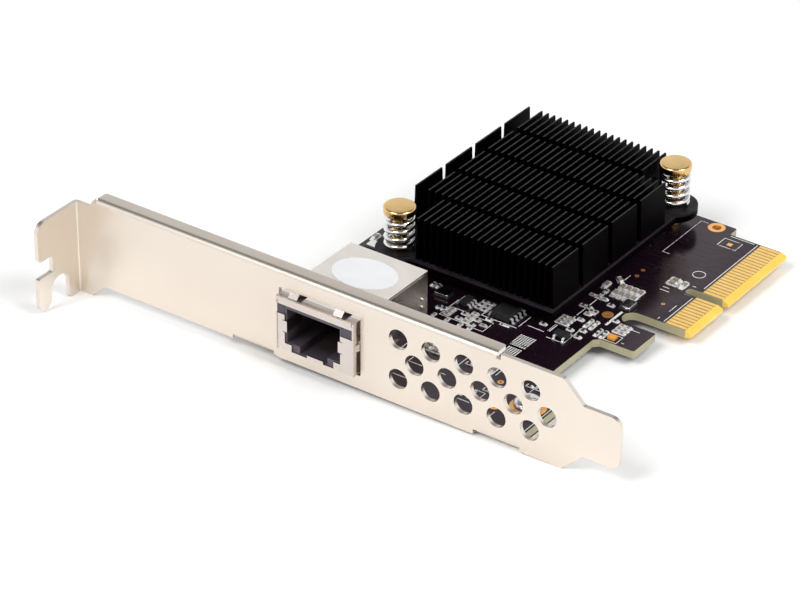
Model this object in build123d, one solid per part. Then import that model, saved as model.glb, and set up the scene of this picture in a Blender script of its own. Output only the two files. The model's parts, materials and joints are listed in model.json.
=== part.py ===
from build123d import *
import os

# Network interface card with a slot bracket, a single socket and a sprung heat sink.
# Millimetres. X runs along the bracket from the screw ear to the tongue, Y from the
# bracket into the card, Z up from the board's component side. The origin is the corner
# where the ear's seat plane, the plate's outer face and the plate's lower edge meet.

# Slot bracket
SHEET = 0.86
COVER_WIDTH = 18.42
COVER_LENGTH = 119.16
TONGUE_WIDTH = 10.19
TONGUE_START = 111.6
SHOULDER_START = 107.5
FOLD_LOW = -2.7
FOLD_HIGH = 16.5
FOLD_OUTER_R = 0.82
FOLD_INNER_R = 0.3
LONG_BEND_R = 1.1
FLANGE_START = 4.6
FLANGE_END = 95.3
FLANGE_DEPTH = 3.2
FLANGE_CORNER_R = 0.5
RELIEF = 0.9
LOW_STEP_START = 2.9
LOW_STEP_END = 5.9
HIGH_STEP_START = 2.9
HIGH_STEP_END = FLANGE_START - 0.3

# Screw ear
EAR_DEPTH = 11.15
FINGER_DEPTH = 11.5
FINGER_TIP = -2.0
SCREW_SLOT_WIDTH = 5.0
SCREW_SLOT_Y = -5.55
SCREW_SLOT_TOP = 3.5
FINGER_TOP = 5.05
LOBE_LOW = 8.5
LOBE_INNER_Y = -7.35

# Vent holes in the plate
VENT_R = 2.0
VENT_PITCH = 6.95
VENT_ROW_STEP = 4.08
VENT_X = 73.05
VENT_TOP_Z = 13.45
VENT_COLUMNS = 5
VENT_ROWS = 3

# Circuit board
BOARD_TOP = 3.0
BOARD_THICK = 1.57
BOARD_BOTTOM = BOARD_TOP - BOARD_THICK
BOARD_LEFT = 37.85
BOARD_FRONT = 1.3
BOARD_BACK = 83.4
BOARD_NEAR = 91.9
FOOT_X = 98.9
FOOT_Y = 14.0
FOOT_SLOPE = 2.5
HOOK_X = 100.0
HOOK_START = 35.0
EDGE_TIP = 105.1
KEY_Y = 58.66
KEY_WIDTH = 1.9
KEY_ROOT = 96.5
SHORT_BLOCK = 12.15
LONG_BLOCK = 22.15
HOOK_END = 16.15
GULLET_ROOT = 91.8
BEVEL_LENGTH = 1.4
BEVEL_DROP = 0.5
BACK_STEP_X = 92.6

# Edge contacts
PAD_PITCH = 1.0
PAD_WIDTH = 0.7
PAD_INNER = 99.5
PAD_LENGTH = EDGE_TIP - BEVEL_LENGTH - PAD_INNER
PAD_THICK = 0.05
SHORT_PADS = 11
LONG_PADS = 21
FIRST_PAD = 1.5
LAND_THICK = PAD_THICK

# Board screws and the bracket's tabs
SOCKET_X = 55.8
SCREW_FROM_SOCKET = 13.8
SCREW_Y = 8.95
SCREW_ONE_X = SOCKET_X - SCREW_FROM_SOCKET
SCREW_TWO_X = 94.65
TAB_DEPTH = 12.6
TAB_WIDTH = 9.3
TAB_CORNER_R = 2.0
TAB_ONE_SIDE = 5.8
TAB_TWO_SIDE = 5.05
TAB_ONE_X = SCREW_ONE_X - TAB_ONE_SIDE
TAB_TWO_X = SCREW_TWO_X - TAB_TWO_SIDE
TAB_SEAT_GAP = 0.3
TAB_LOW = BOARD_BOTTOM - SHEET - TAB_SEAT_GAP
TAB_NOTCH = 0.5
TAB_NOTCH_HIGH = 0.7
COLLAR_R = 2.3
SCREW_R = 1.45
THREAD_CLEARANCE = 0.05
BOARD_HOLE_R = 1.6
SCREW_HEAD_R = 2.7
SCREW_HEAD_HIGH = 1.7
SCREW_TIP = 0.1
RECESS_WIDTH = 0.6
RECESS_LENGTH = 2.6
RECESS_DEPTH = 0.8
LAND_R = 3.4

# Socket
SOCKET_WIDTH = 17.2
SOCKET_FRONT = -1.5
SOCKET_BACK = 21.3
SOCKET_HIGH = 11.05
SHELL_WALL = 0.3
SHELL_GAP = 0.05
SHELL_CORNER_R = 0.12
WINDOW_SIDE_GAP = 0.4
WINDOW_SHIFT = 0.1
WINDOW_TOP_GAP = 0.95
WINDOW_LOW_GAP = 0.25
WINDOW_R = 0.3
SHELL_RIM = 0.15
HEM_LOW = 13.4
HEM_GROOVE = 0.12
LIGHT_WALL = 0.5
LEFT_LIGHT_WIDTH = 1.4
RIGHT_LIGHT_WIDTH = 2.5
CAVITY_X = SOCKET_X - (RIGHT_LIGHT_WIDTH - LEFT_LIGHT_WIDTH) / 2
CAVITY_WIDTH = SOCKET_WIDTH - 2 * (SHELL_WALL + LIGHT_WALL) - LEFT_LIGHT_WIDTH - RIGHT_LIGHT_WIDTH
CAVITY_LOW = 4.7
CAVITY_TOP = 11.7
CAVITY_DEPTH = 14.3
LATCH_WIDTH = 6.1
CUT_OUT_LIP = 0.3
LATCH_LOW = 3.3
CUT_OUT_WIDTH = CAVITY_WIDTH + 2 * CUT_OUT_LIP
CUT_OUT_LOW = 4.6
CUT_OUT_TOP = 12.55
CUT_OUT_FOOT_WIDTH = 9.3
CUT_OUT_FOOT_LOW = 3.2
FOOT_TONGUE_WIDTH = 3.55
FOOT_TONGUE_TOP = 3.75
LIGHT_CUT_LOW = 10.5
LIGHT_LOW = 9.9
LIGHT_TOP = 12.7
LIGHT_LENGTH = 13.0
LEG_WIDTH = 1.1
LEG_Y = 10.2
LEG_TIP = 0.45
LEG_HOLE_R = 0.8
TOP_FINGERS = (-6.25, 3.65)
TOP_FINGER_WIDTH = 1.95
TOP_FINGER_START = 0.65
FINGER_RISE_GAP = 0.05
ROOF_SLOT = 0.9
SIDE_FINGER_Z = 8.75
SIDE_FINGER_WIDTH = 1.35
LEAF_THICK = 0.2
LEAF_LENGTH = 4.5
LEAF_LOW = 7.0
LEAF_HIGH = 9.25
LEAF_SLIT = 0.15
LEAF_SLIT_REACH = 0.45
SEAM_WIDTH = 0.22
SEAM_START = 9.5
SEAM_END = 20.0
DIMPLE_R = 0.35
DIMPLE_Y = 19.6
DIMPLE_HEIGHTS = (7.2, 8.8)

# Contact springs in the socket
WIRE = 0.34
WIRE_PITCH = 1.02
WIRES = 8
WIRE_ROOF = 12.45
WIRE_FRONT = 2.3
WIRE_END_Y = 8.8
WIRE_END_Z = 9.6
WIRE_BEND_R = 0.5
TAIL_ROWS = (15.7, 18.24)
TAIL_TIP = 0.5
TAIL_HOLE_R = 0.4
GROOVE_TOP = 12.9
GROOVE_MARGIN = 0.35

# Label on the socket
LABEL_RX = 6.5
LABEL_RY = 4.9
LABEL_Y = 13.8
LABEL_THICK = 0.1

# Heat sink
SINK_LEFT = 46.2
SINK_RIGHT = 84.2
SINK_FRONT = 32.2
SINK_BACK = 80.3
SINK_BASE_LOW = 5.3
SINK_BASE_TOP = 7.3
SINK_TOP = 16.0
FIN_PITCH = 1.479
FIN_FIRST_X = 46.65
FIN_COLUMNS = 26
FIN_ROOT = 0.9
FIN_TIP = 0.36
FIN_MISSING = 1
FIN_FRONT = 32.7
FIN_ROW_PITCH = 9.85
CROSS_CUT = 1.4
FIN_ROWS = 5
FRONT_NOTCH_COLUMNS = 5
BACK_NOTCH_COLUMNS = 4
SINK_EAR_R = 4.6
BASE_EDGE = 0.3

# Push pins and their springs
PIN_FRONT_X = 48.7
PIN_FRONT_Y = 34.5
PIN_BACK_X = 81.4
PIN_BACK_Y = 78.3
PIN_SHANK_R = 1.4
PIN_HOLE_R = 1.6
PIN_HEAD_R = 3.1
PIN_HEAD_THICK = 1.5
PIN_HEAD_TOP = 16.2
PIN_DOME_R = 0.45
PIN_TIP = -0.9
BARB_R = 1.95
BARB_GAP = 0.04
BARB_SPLIT = 0.6
SPRING_WIRE_R = 0.46
SPRING_R = 2.55
SPRING_TURNS = 4.75
SPRING_GAP = 0.03
WIRE_SIDES = 8

# Controller under the heat sink
CHIP_X = 65.1
CHIP_Y = 56.4
SUBSTRATE = 25.0
SUBSTRATE_THICK = 1.1
LID = 19.0
PAD_GAP_THICK = 0.2
LID_CHAMFER = 0.3

# Leaded packages: X, Y and degrees turned; body X, Y and height; pins a side
MEMORY_AT = (74.6, 32.1, 0)
MEMORY_BODY = (3.9, 4.9, 1.45)
MEMORY_PINS = 4
MEMORY_PITCH = 1.27
DRIVER_AT = (66.4, 31.0, 0)
DRIVER_BODY = (1.6, 2.9, 1.0)
DRIVER_PINS = 3
DRIVER_PITCH = 0.95
SWITCH_AT = (86.9, 31.5, 90)
SWITCH_BODY = (1.5, 2.9, 1.0)
SWITCH_PINS = 2
SWITCH_PITCH = 1.9
LEAD_THICK = 0.2
LEAD_WIDTH = 0.4
LEAD_REACH = 0.95
LEAD_FOOT = 0.5
BODY_LIFT = 0.1

# Chip parts: length, width and height of each size
SMALL_CHIP = (1.0, 0.5, 0.4)
LARGE_CHIP = (1.6, 0.8, 0.6)
CHIP_END = 0.22
BODY_SHRINK = 0.04

RIGHT_ROW_GAP = 13.2
LEFT_BLOCK_GAP = 15.9

# Each cluster: first part's X and Y, columns, rows, X step, Y step, degrees turned
CAPACITOR_CLUSTERS = [
    (65.5, 25.9, 1, 3, 1.0, 0.95, 0),
    (69.8, 25.6, 1, 4, 1.0, 1.1, 0),
    (63.8, 24.1, 2, 1, 2.9, 1.0, 90),
    (69.6, 24.1, 2, 1, 2.1, 1.0, 90),
    (73.2, 26.4, 1, 1, 1.0, 1.0, 0),
    (83.6, 35.5, 2, 3, 1.4, 1.1, 0),
    (88.3, 37.4, 2, 2, 1.2, 1.6, 90),
    (86.4, 38.5, 1, 2, 1.0, 2.4, 0),
    (93.8, 38.8, 2, 3, 1.25, 1.15, 0),
    (83.5, 47.0, 3, 1, 1.3, 1.0, 0),
    (40.0, 24.4, 3, 2, 2.0, 2.0, 90),
    (82.9, 5.8, 2, 2, 1.5, 1.2, 90),
]
RESISTOR_CLUSTERS = [
    (69.0, 31.0, 2, 3, 1.3, 1.2, 0),
    (68.2, 25.9, 1, 2, 1.0, 1.9, 0),
    (71.3, 25.4, 1, 2, 1.0, 1.9, 0),
    (72.9, 28.8, 1, 1, 1.0, 1.0, 0),
    (63.1, 27.0, 2, 1, 1.0, 1.0, 45),
    (57.6, 32.9, 2, 1, 1.2, 1.0, 90),
    (81.7, 33.3, 1, 1, 1.0, 1.0, 0),
    (86.7, 34.5, 1, 1, 1.0, 1.0, 0),
    (89.2, 33.2, 1, 1, 1.0, 1.0, 0),
    (88.8, 35.5, 1, 1, 1.0, 1.0, 0),
    (91.4, 36.0, 2, 2, 1.2, 1.2, 90),
    (86.4, 42.0, 2, 1, 0.9, 1.0, 90),
    (84.1, 42.9, 2, 1, 1.2, 1.0, 0),
    (88.2, 45.9, 1, 1, 1.0, 1.0, 0),
    (91.8, 41.8, 1, 1, 1.0, 1.0, 0),
    (84.8, 48.2, 1, 2, 1.0, 1.3, 90),
    (78.5, 14.3, 1, 1, 1.0, 1.0, 0),
    (85.8, 9.0, 1, 1, 1.0, 1.0, 0),
    (91.3, 14.5, 2, 1, 2.0, 1.0, 0),
    (SOCKET_X + RIGHT_ROW_GAP, 18.6, 6, 1, 2.2, 1.0, 90),
]
LARGE_CLUSTERS = [
    (86.5, 49.9, 4, 2, 1.3, 2.4, 90),
    (83.6, 51.4, 1, 1, 1.0, 1.0, 90),
    (84.9, 54.2, 1, 1, 1.0, 1.0, -40),
    (93.3, 59.0, 1, 2, 1.0, 1.3, 0),
    (95.4, 59.6, 1, 1, 1.0, 1.0, 90),
    (SOCKET_X - LEFT_BLOCK_GAP, 16.9, 3, 3, 2.3, 1.9, 0),
    (38.95, 40.4, 1, 1, 1.0, 1.0, 90),
    (40.9, 42.2, 2, 1, 2.3, 1.0, 0),
    (69.3, 14.1, 2, 2, 2.1, 1.3, 0),
    (83.2, 15.0, 1, 1, 1.0, 1.0, 90),
]
REAR_CLUSTER = (61.5, 53.0, 4, 4, 2.4, 2.2, 0)
CRYSTAL_PLACES = ((41.0, 37.5, 0), (91.0, 47.35, 90), (61.2, 31.0, 0))
CRYSTAL = (3.2, 2.5, 0.8)
CRYSTAL_BASE = 0.3
COIL_PLACES = ((42.2, 48.6), (42.2, 57.4))
COIL = 6.4
COIL_HIGH = 3.0
COIL_CORE_R = 2.5
TANTALUM_PLACES = ((42.2, 65.6), (42.2, 70.4), (42.2, 75.2))
TANTALUM = (6.0, 3.2, 2.6)
TANTALUM_FOOT = 0.9
ORANGE_AT = (94.5, 36.5)
ORANGE_CHIP = (1.5, 1.3, 0.6)

# Rings and marks of bare copper: X, Y, outer radius, hole radius
TOOLING_RING = (89.2, 81.5, 1.7, 0.9)
PLATED_HOLES = ((89.4, 42.9, 1.1, 0.45), (86.2, 60.0, 0.42, 0.2), (86.4, 57.6, 0.42, 0.2),
                (95.6, 52.0, 0.36, 0.18), (86.3, 12.7, 0.6, 0.25), (89.8, 5.6, 1.0, 0.45))
FIDUCIAL_AT = (94.5, 77.5)
FIDUCIAL = 1.0


def blank(plane, corners, thickness):
    """Flat sheet or board from its corners (across, along, corner radius)."""
    outline = FilletPolyline(*[(a, b) for a, b, r in corners], radius=[r for a, b, r in corners],
                             close=True)
    return extrude(plane * make_face(outline), amount=thickness)


def block(x0, x1, y0, y1, z0, z1):
    """Box between two corners."""
    return Pos(x0, y0, z0) * Box(x1 - x0, y1 - y0, z1 - z0, align=(Align.MIN,) * 3)


def rod(x, y, r, z0, z1):
    """Upright round bar or drill."""
    return Pos(x, y, z0) * Cylinder(r, z1 - z0, align=(Align.CENTER, Align.CENTER, Align.MIN))


def ring(x, y, outer, inner, z0, z1):
    """Upright tube or flat washer."""
    return rod(x, y, outer, z0, z1) - rod(x, y, inner, z0, z1)


def cluster_places(cluster):
    """Locations of a cluster's parts on the board's component side."""
    x0, y0, columns, rows, step_x, step_y, turn = cluster
    return [Pos(x0 + i * step_x, y0 + j * step_y, BOARD_TOP) * Rot(0, 0, turn)
            for j in range(int(rows)) for i in range(int(columns))]


def bent_strip(x0, x1, edge_z, depth, side):
    """Long-edge fold: a strip of the plate that turns inwards; side is +1 at the top edge."""
    root = edge_z - side * 2.0
    inner = edge_z - side * SHEET
    corners = [(0, root, 0), (0, edge_z, LONG_BEND_R), (depth, edge_z, 0), (depth, inner, 0),
               (SHEET, inner, LONG_BEND_R - SHEET), (SHEET, root, 0)]
    strip = Pos(x0, 0, 0) * blank(Plane.YZ, corners, x1 - x0)
    return strip


def plate_blank():
    """The plate's outline in X and Z, with shoulders, tongue and the stepped lower edge."""
    middle = COVER_WIDTH / 2
    tongue_low = middle - TONGUE_WIDTH / 2
    tongue_high = middle + TONGUE_WIDTH / 2
    tab_one_end = TAB_ONE_X + TAB_WIDTH
    tab_two_end = TAB_TWO_X + TAB_WIDTH
    corners = [
        (-SHEET, FOLD_LOW, 0), (LOW_STEP_START, FOLD_LOW, 0.6), (LOW_STEP_END, TAB_LOW, 1.0),
        (tab_one_end, TAB_LOW, 0.3), (tab_one_end + 1.4, 0, 0.4),
        (TAB_TWO_X - 0.8, 0, 0.1), (TAB_TWO_X - 0.3, TAB_LOW, 0.1),
        (tab_two_end, TAB_LOW, 0.3), (tab_two_end + 1.2, 0.1, 0.3),
        (SHOULDER_START, 0.1, 0.5), (TONGUE_START, tongue_low, 0.6),
        (COVER_LENGTH, tongue_low, 2.0), (COVER_LENGTH, tongue_high, 2.0),
        (TONGUE_START, tongue_high, 0.6), (SHOULDER_START, COVER_WIDTH, 0.5),
        (HIGH_STEP_END, COVER_WIDTH, 0.3), (HIGH_STEP_START, FOLD_HIGH, 0.4),
        (-SHEET, FOLD_HIGH, 0),
    ]
    return blank(Plane.XZ, corners, -SHEET)


def ear_blank():
    """The screw ear's outline in Y and Z, with its open screw slot and notched finger."""
    slot_near = SCREW_SLOT_Y + SCREW_SLOT_WIDTH / 2
    slot_far = SCREW_SLOT_Y - SCREW_SLOT_WIDTH / 2
    slot_r = SCREW_SLOT_WIDTH / 2 - 0.01
    tip_r = (FINGER_DEPTH + slot_far) / 2 - 0.01
    corners = [
        (SHEET, FOLD_LOW, 0), (slot_near, FOLD_LOW, 0.8),
        (slot_near, SCREW_SLOT_TOP, slot_r), (slot_far, SCREW_SLOT_TOP, slot_r),
        (slot_far, FINGER_TIP, tip_r), (-FINGER_DEPTH, FINGER_TIP, tip_r),
        (-FINGER_DEPTH, FINGER_TOP, 0.6), (LOBE_INNER_Y, FINGER_TOP, 0.5),
        (LOBE_INNER_Y, LOBE_LOW, 0.5), (-EAR_DEPTH, LOBE_LOW, 0.9),
        (-EAR_DEPTH, FOLD_HIGH, 2.2), (SHEET, FOLD_HIGH, 0),
    ]
    return blank(Plane.YZ, corners, -SHEET)


def vent_drills():
    """Three staggered rows of vent holes."""
    drills = []
    for row in range(VENT_ROWS):
        shift = VENT_PITCH / 2 if row % 2 else 0
        for column in range(VENT_COLUMNS):
            centre = (VENT_X + shift + column * VENT_PITCH, 0, VENT_TOP_Z - row * VENT_ROW_STEP)
            drills.append(Pos(*centre) * Rot(90, 0, 0) * Cylinder(VENT_R, 4 * SHEET))
    return drills


def socket_window():
    """Opening in the plate for the socket, with the gaps that its spring fingers bridge."""
    half = SOCKET_WIDTH / 2 + WINDOW_SIDE_GAP
    middle = SOCKET_X + WINDOW_SHIFT
    low = BOARD_TOP - WINDOW_LOW_GAP
    high = BOARD_TOP + SOCKET_HIGH + WINDOW_TOP_GAP
    corners = [(middle - half, low, WINDOW_R), (middle + half, low, WINDOW_R),
               (middle + half, high, WINDOW_R), (middle - half, high, WINDOW_R)]
    return Pos(0, -SHEET, 0) * blank(Plane.XZ, corners, -3 * SHEET)


def board_tab(x0, screw_x):
    """Tab under the board, folded in from the lower edge, with a drawn collar for the screw."""
    x1 = x0 + TAB_WIDTH
    tab = bent_strip(x0, x1, TAB_LOW, TAB_DEPTH, -1)
    corners = tab.edges().filter_by(Axis.Z).group_by(Axis.Y)[-1]
    tab = fillet(corners, TAB_CORNER_R)
    tab += rod(screw_x, SCREW_Y, COLLAR_R, 0, BOARD_BOTTOM)
    return tab - rod(screw_x, SCREW_Y, SCREW_R + THREAD_CLEARANCE, -SHEET, BOARD_BOTTOM + SHEET)


def slot_bracket():
    """One folded steel sheet: plate, ear, stiffening flange and two board tabs."""
    body = plate_blank() + ear_blank()
    corner = body.edges().filter_by(Axis.Z)
    outer = corner.filter_by_position(Axis.X, -SHEET - 0.01, -SHEET + 0.01)
    outer = outer.filter_by_position(Axis.Y, SHEET - 0.01, SHEET + 0.01)
    body = fillet(outer, FOLD_OUTER_R)
    corner = body.edges().filter_by(Axis.Z)
    inner = corner.filter_by_position(Axis.X, -0.01, 0.01).filter_by_position(Axis.Y, -0.01, 0.01)
    body = fillet(inner, FOLD_INNER_R)
    body -= block(FLANGE_START, FLANGE_END + RELIEF, -1, 2, COVER_WIDTH - LONG_BEND_R, COVER_WIDTH + 1)
    body -= block(FLANGE_START, FLANGE_END, -1, 2, COVER_WIDTH - 2.0, COVER_WIDTH + 1)
    flange = bent_strip(FLANGE_START, FLANGE_END, COVER_WIDTH, FLANGE_DEPTH, 1)
    flange = fillet(flange.edges().filter_by(Axis.Z).group_by(Axis.Y)[-1], FLANGE_CORNER_R)
    body += flange
    for x0, screw_x in ((TAB_ONE_X, SCREW_ONE_X), (TAB_TWO_X, SCREW_TWO_X)):
        body -= block(x0, x0 + TAB_WIDTH, -1, 2, TAB_LOW - 1, TAB_LOW + 2.0)
        body += board_tab(x0, screw_x)
    body -= block(TAB_TWO_X - TAB_NOTCH, TAB_TWO_X, -1, 2, TAB_LOW - 1, TAB_LOW + TAB_NOTCH_HIGH)
    for drill in vent_drills():
        body -= drill
    return body - socket_window()


def tail_places():
    """Board positions of the socket contacts' tails, in two staggered rows."""
    return [(CAVITY_X + (i - (WIRES - 1) / 2) * WIRE_PITCH, TAIL_ROWS[i % 2]) for i in range(WIRES)]


def leg_places():
    """The shell's two side legs, in the middle of its walls."""
    reach = SOCKET_WIDTH / 2 - SHELL_WALL / 2
    return [(SOCKET_X - reach, LEG_Y), (SOCKET_X + reach, LEG_Y)]


def push_pin_places():
    return [(PIN_FRONT_X, PIN_FRONT_Y), (PIN_BACK_X, PIN_BACK_Y)]


def circuit_board():
    """Board with foot, hook, gullet, keyed and bevelled contact edge, and its drilled holes."""
    short_end = KEY_Y - SHORT_BLOCK
    hook_end = KEY_Y - HOOK_END
    gullet_r = (short_end - hook_end) / 2 - 0.01
    long_end = KEY_Y + LONG_BLOCK
    key_low = KEY_Y - KEY_WIDTH / 2
    key_high = KEY_Y + KEY_WIDTH / 2
    key_r = KEY_WIDTH / 2 - 0.01
    corners = [
        (BOARD_LEFT, BOARD_FRONT, 0.5), (FOOT_X, BOARD_FRONT, 0.5), (FOOT_X, FOOT_Y, 0.5),
        (BOARD_NEAR, FOOT_Y + FOOT_SLOPE, 1.0), (BOARD_NEAR, HOOK_START - 0.9, 0.4),
        (BOARD_NEAR + 0.9, HOOK_START, 0.4), (HOOK_X, HOOK_START, 0.5), (HOOK_X, hook_end, 0.3),
        (GULLET_ROOT, hook_end, gullet_r), (GULLET_ROOT, short_end, gullet_r),
        (EDGE_TIP, short_end, 0.4), (EDGE_TIP, key_low, 0.3), (KEY_ROOT, key_low, key_r),
        (KEY_ROOT, key_high, key_r), (EDGE_TIP, key_high, 0.3), (EDGE_TIP, long_end, 0.4),
        (BACK_STEP_X, long_end, 0.4), (BACK_STEP_X, BOARD_BACK, 0.4), (BOARD_LEFT, BOARD_BACK, 0.5),
    ]
    board = Pos(0, 0, BOARD_BOTTOM) * blank(Plane.XY, corners, BOARD_THICK)
    middle = (BOARD_TOP + BOARD_BOTTOM) / 2
    for side in (-1, 1):
        face_z = middle + side * BOARD_THICK / 2
        wedge = Polyline((EDGE_TIP - BEVEL_LENGTH, face_z), (EDGE_TIP + 1, face_z + side),
                         (EDGE_TIP + 1, face_z - side * BEVEL_DROP * (1 + 1 / BEVEL_LENGTH)),
                         close=True)
        board -= Pos(0, hook_end, 0) * extrude(Plane.XZ * make_face(wedge), amount=-45)
    low = BOARD_BOTTOM - 1
    high = BOARD_TOP + 1
    for x, y in ((SCREW_ONE_X, SCREW_Y), (SCREW_TWO_X, SCREW_Y)):
        board -= rod(x, y, BOARD_HOLE_R, low, high)
    for x, y in push_pin_places():
        board -= rod(x, y, PIN_HOLE_R, low, high)
    for x, y in leg_places():
        board -= rod(x, y, LEG_HOLE_R, low, high)
    for x, y in tail_places():
        board -= rod(x, y, TAIL_HOLE_R, low, high)
    for x, y, outer, hole in (TOOLING_RING,) + PLATED_HOLES:
        board -= rod(x, y, hole, low, high)
    return board


def edge_contacts(z0):
    """Row of gold pads on one side of the board, short block then long block."""
    first = KEY_Y - FIRST_PAD - (SHORT_PADS - 1) * PAD_PITCH
    short = [first + i * PAD_PITCH for i in range(SHORT_PADS)]
    long = [KEY_Y + FIRST_PAD + i * PAD_PITCH for i in range(LONG_PADS)]
    half = PAD_WIDTH / 2
    return [block(PAD_INNER, PAD_INNER + PAD_LENGTH, y - half, y + half, z0, z0 + PAD_THICK)
            for y in short + long]


def copper_lands():
    """Screw lands, the ringed tooling hole, plated holes and the fiducial square."""
    z1 = BOARD_TOP + LAND_THICK
    lands = [ring(x, SCREW_Y, LAND_R, BOARD_HOLE_R, BOARD_TOP, z1) for x in (SCREW_ONE_X, SCREW_TWO_X)]
    for x, y, outer, hole in (TOOLING_RING,) + PLATED_HOLES:
        lands.append(ring(x, y, outer, hole, BOARD_TOP, z1))
    x, y = FIDUCIAL_AT
    half = FIDUCIAL / 2
    lands.append(block(x - half, x + half, y - half, y + half, BOARD_TOP, z1))
    return lands


def board_screws():
    """Pan-head screws that hold the board to the tabs, with cross recesses."""
    seat = BOARD_TOP + LAND_THICK
    screws = []
    for x in (SCREW_ONE_X, SCREW_TWO_X):
        head = rod(0, 0, SCREW_HEAD_R, seat, seat + SCREW_HEAD_HIGH)
        head = fillet(head.edges().group_by(Axis.Z)[-1], SCREW_HEAD_HIGH * 0.6)
        screw = head + rod(0, 0, SCREW_R, SCREW_TIP, seat)
        floor = seat + SCREW_HEAD_HIGH - RECESS_DEPTH
        for turn in (0, 90):
            arm = Box(RECESS_LENGTH, RECESS_WIDTH, 2, align=(Align.CENTER, Align.CENTER, Align.MIN))
            screw -= Pos(0, 0, floor) * Rot(0, 0, turn + 30) * arm
        screws.append(Pos(x, SCREW_Y, 0) * screw)
    return screws


def socket_span(inset):
    """Socket's outer X limits, brought in by inset."""
    half = SOCKET_WIDTH / 2 - inset
    return SOCKET_X - half, SOCKET_X + half


def centred(width, y0, y1, z0, z1):
    """Box on the plug cavity's middle plane."""
    return block(CAVITY_X - width / 2, CAVITY_X + width / 2, y0, y1, z0, z1)


def cavity_drills(y0, y1):
    """Plug cavity with the latch channel in its floor, between two depths."""
    return [centred(CAVITY_WIDTH, y0, y1, CAVITY_LOW, CAVITY_TOP),
            centred(LATCH_WIDTH, y0, y1, LATCH_LOW, CAVITY_TOP)]


def light_box(side, clearance, y0, y1):
    """One light pipe's space beside the cavity; side is -1 or +1."""
    outer = SOCKET_X + side * (SOCKET_WIDTH / 2 - SHELL_WALL)
    inner = CAVITY_X + side * (CAVITY_WIDTH / 2 + LIGHT_WALL - clearance)
    return block(min(outer, inner), max(outer, inner), y0, y1,
                 LIGHT_LOW - clearance, LIGHT_TOP + clearance)


def shell_cut_out():
    """Opening in the shell's front: cavity, latch foot with its tongue, and light windows."""
    y0 = SOCKET_FRONT - 1
    y1 = SOCKET_FRONT + SHELL_RIM + 2 * SHELL_WALL
    cut = centred(CUT_OUT_WIDTH, y0, y1, CUT_OUT_LOW, CUT_OUT_TOP)
    cut += centred(CUT_OUT_FOOT_WIDTH, y0, y1, CUT_OUT_FOOT_LOW, CUT_OUT_TOP)
    half_tongue = FOOT_TONGUE_WIDTH / 2
    cut -= block(SOCKET_X - half_tongue, SOCKET_X + half_tongue, y0, y1, CUT_OUT_FOOT_LOW, FOOT_TONGUE_TOP)
    x0, x1 = socket_span(SHELL_WALL)
    cut += block(x0 - 1, x1, y0, y1, LIGHT_CUT_LOW, CUT_OUT_TOP)
    for side in (-1, 1):
        edge = CAVITY_X + side * CUT_OUT_WIDTH / 2
        reach = edge + side * LEAF_SLIT_REACH
        for z0 in (LEAF_LOW - LEAF_SLIT, LEAF_HIGH):
            cut += block(min(edge, reach), max(edge, reach), y0, y1, z0, z0 + LEAF_SLIT)
    return cut


def shell_front_leaf(side):
    """Tab of the front that turns into the cavity beside the plug."""
    edge = CAVITY_X + side * (CUT_OUT_WIDTH / 2 + 0.2)
    inner = CAVITY_X + side * (CAVITY_WIDTH / 2 - LEAF_THICK)
    plate = SOCKET_FRONT + SHELL_RIM
    tab = block(min(edge, inner), max(edge, inner), plate, plate + SHELL_WALL, LEAF_LOW, LEAF_HIGH)
    outer = inner + side * LEAF_THICK
    return tab + block(min(outer, inner), max(outer, inner), plate, SOCKET_FRONT + LEAF_LENGTH,
                       LEAF_LOW, LEAF_HIGH)


def shell_top_finger(offset):
    """Spring finger that rises from the roof to the bracket's window."""
    top = BOARD_TOP + SOCKET_HIGH
    rise = top + WINDOW_TOP_GAP - FINGER_RISE_GAP
    front = SOCKET_FRONT + TOP_FINGER_START
    profile = Polyline((front, top), (0.1, rise), (0.5, rise), (1.3, top + 0.1), (1.3, top - 0.1),
                       (0.4, rise - LEAF_THICK), (front, top - 0.1), close=True)
    finger = extrude(Plane.YZ * make_face(profile), amount=TOP_FINGER_WIDTH)
    return Pos(SOCKET_X + offset, 0, 0) * finger


def shell_side_finger(side):
    """Spring finger on a side wall, against the edge of the bracket's window."""
    wall = SOCKET_X + side * SOCKET_WIDTH / 2
    swell = wall + side * (WINDOW_SIDE_GAP - FINGER_RISE_GAP) + WINDOW_SHIFT
    root = wall - side * 0.1
    front = SOCKET_FRONT + 0.4
    profile = Polyline((wall, front), (swell, 0.1), (swell, 0.5), (wall, 1.3), (root, 1.3),
                       (root, front), close=True)
    finger = extrude(make_face(profile), amount=SIDE_FINGER_WIDTH)
    return Pos(0, 0, SIDE_FINGER_Z - SIDE_FINGER_WIDTH / 2) * finger


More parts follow.
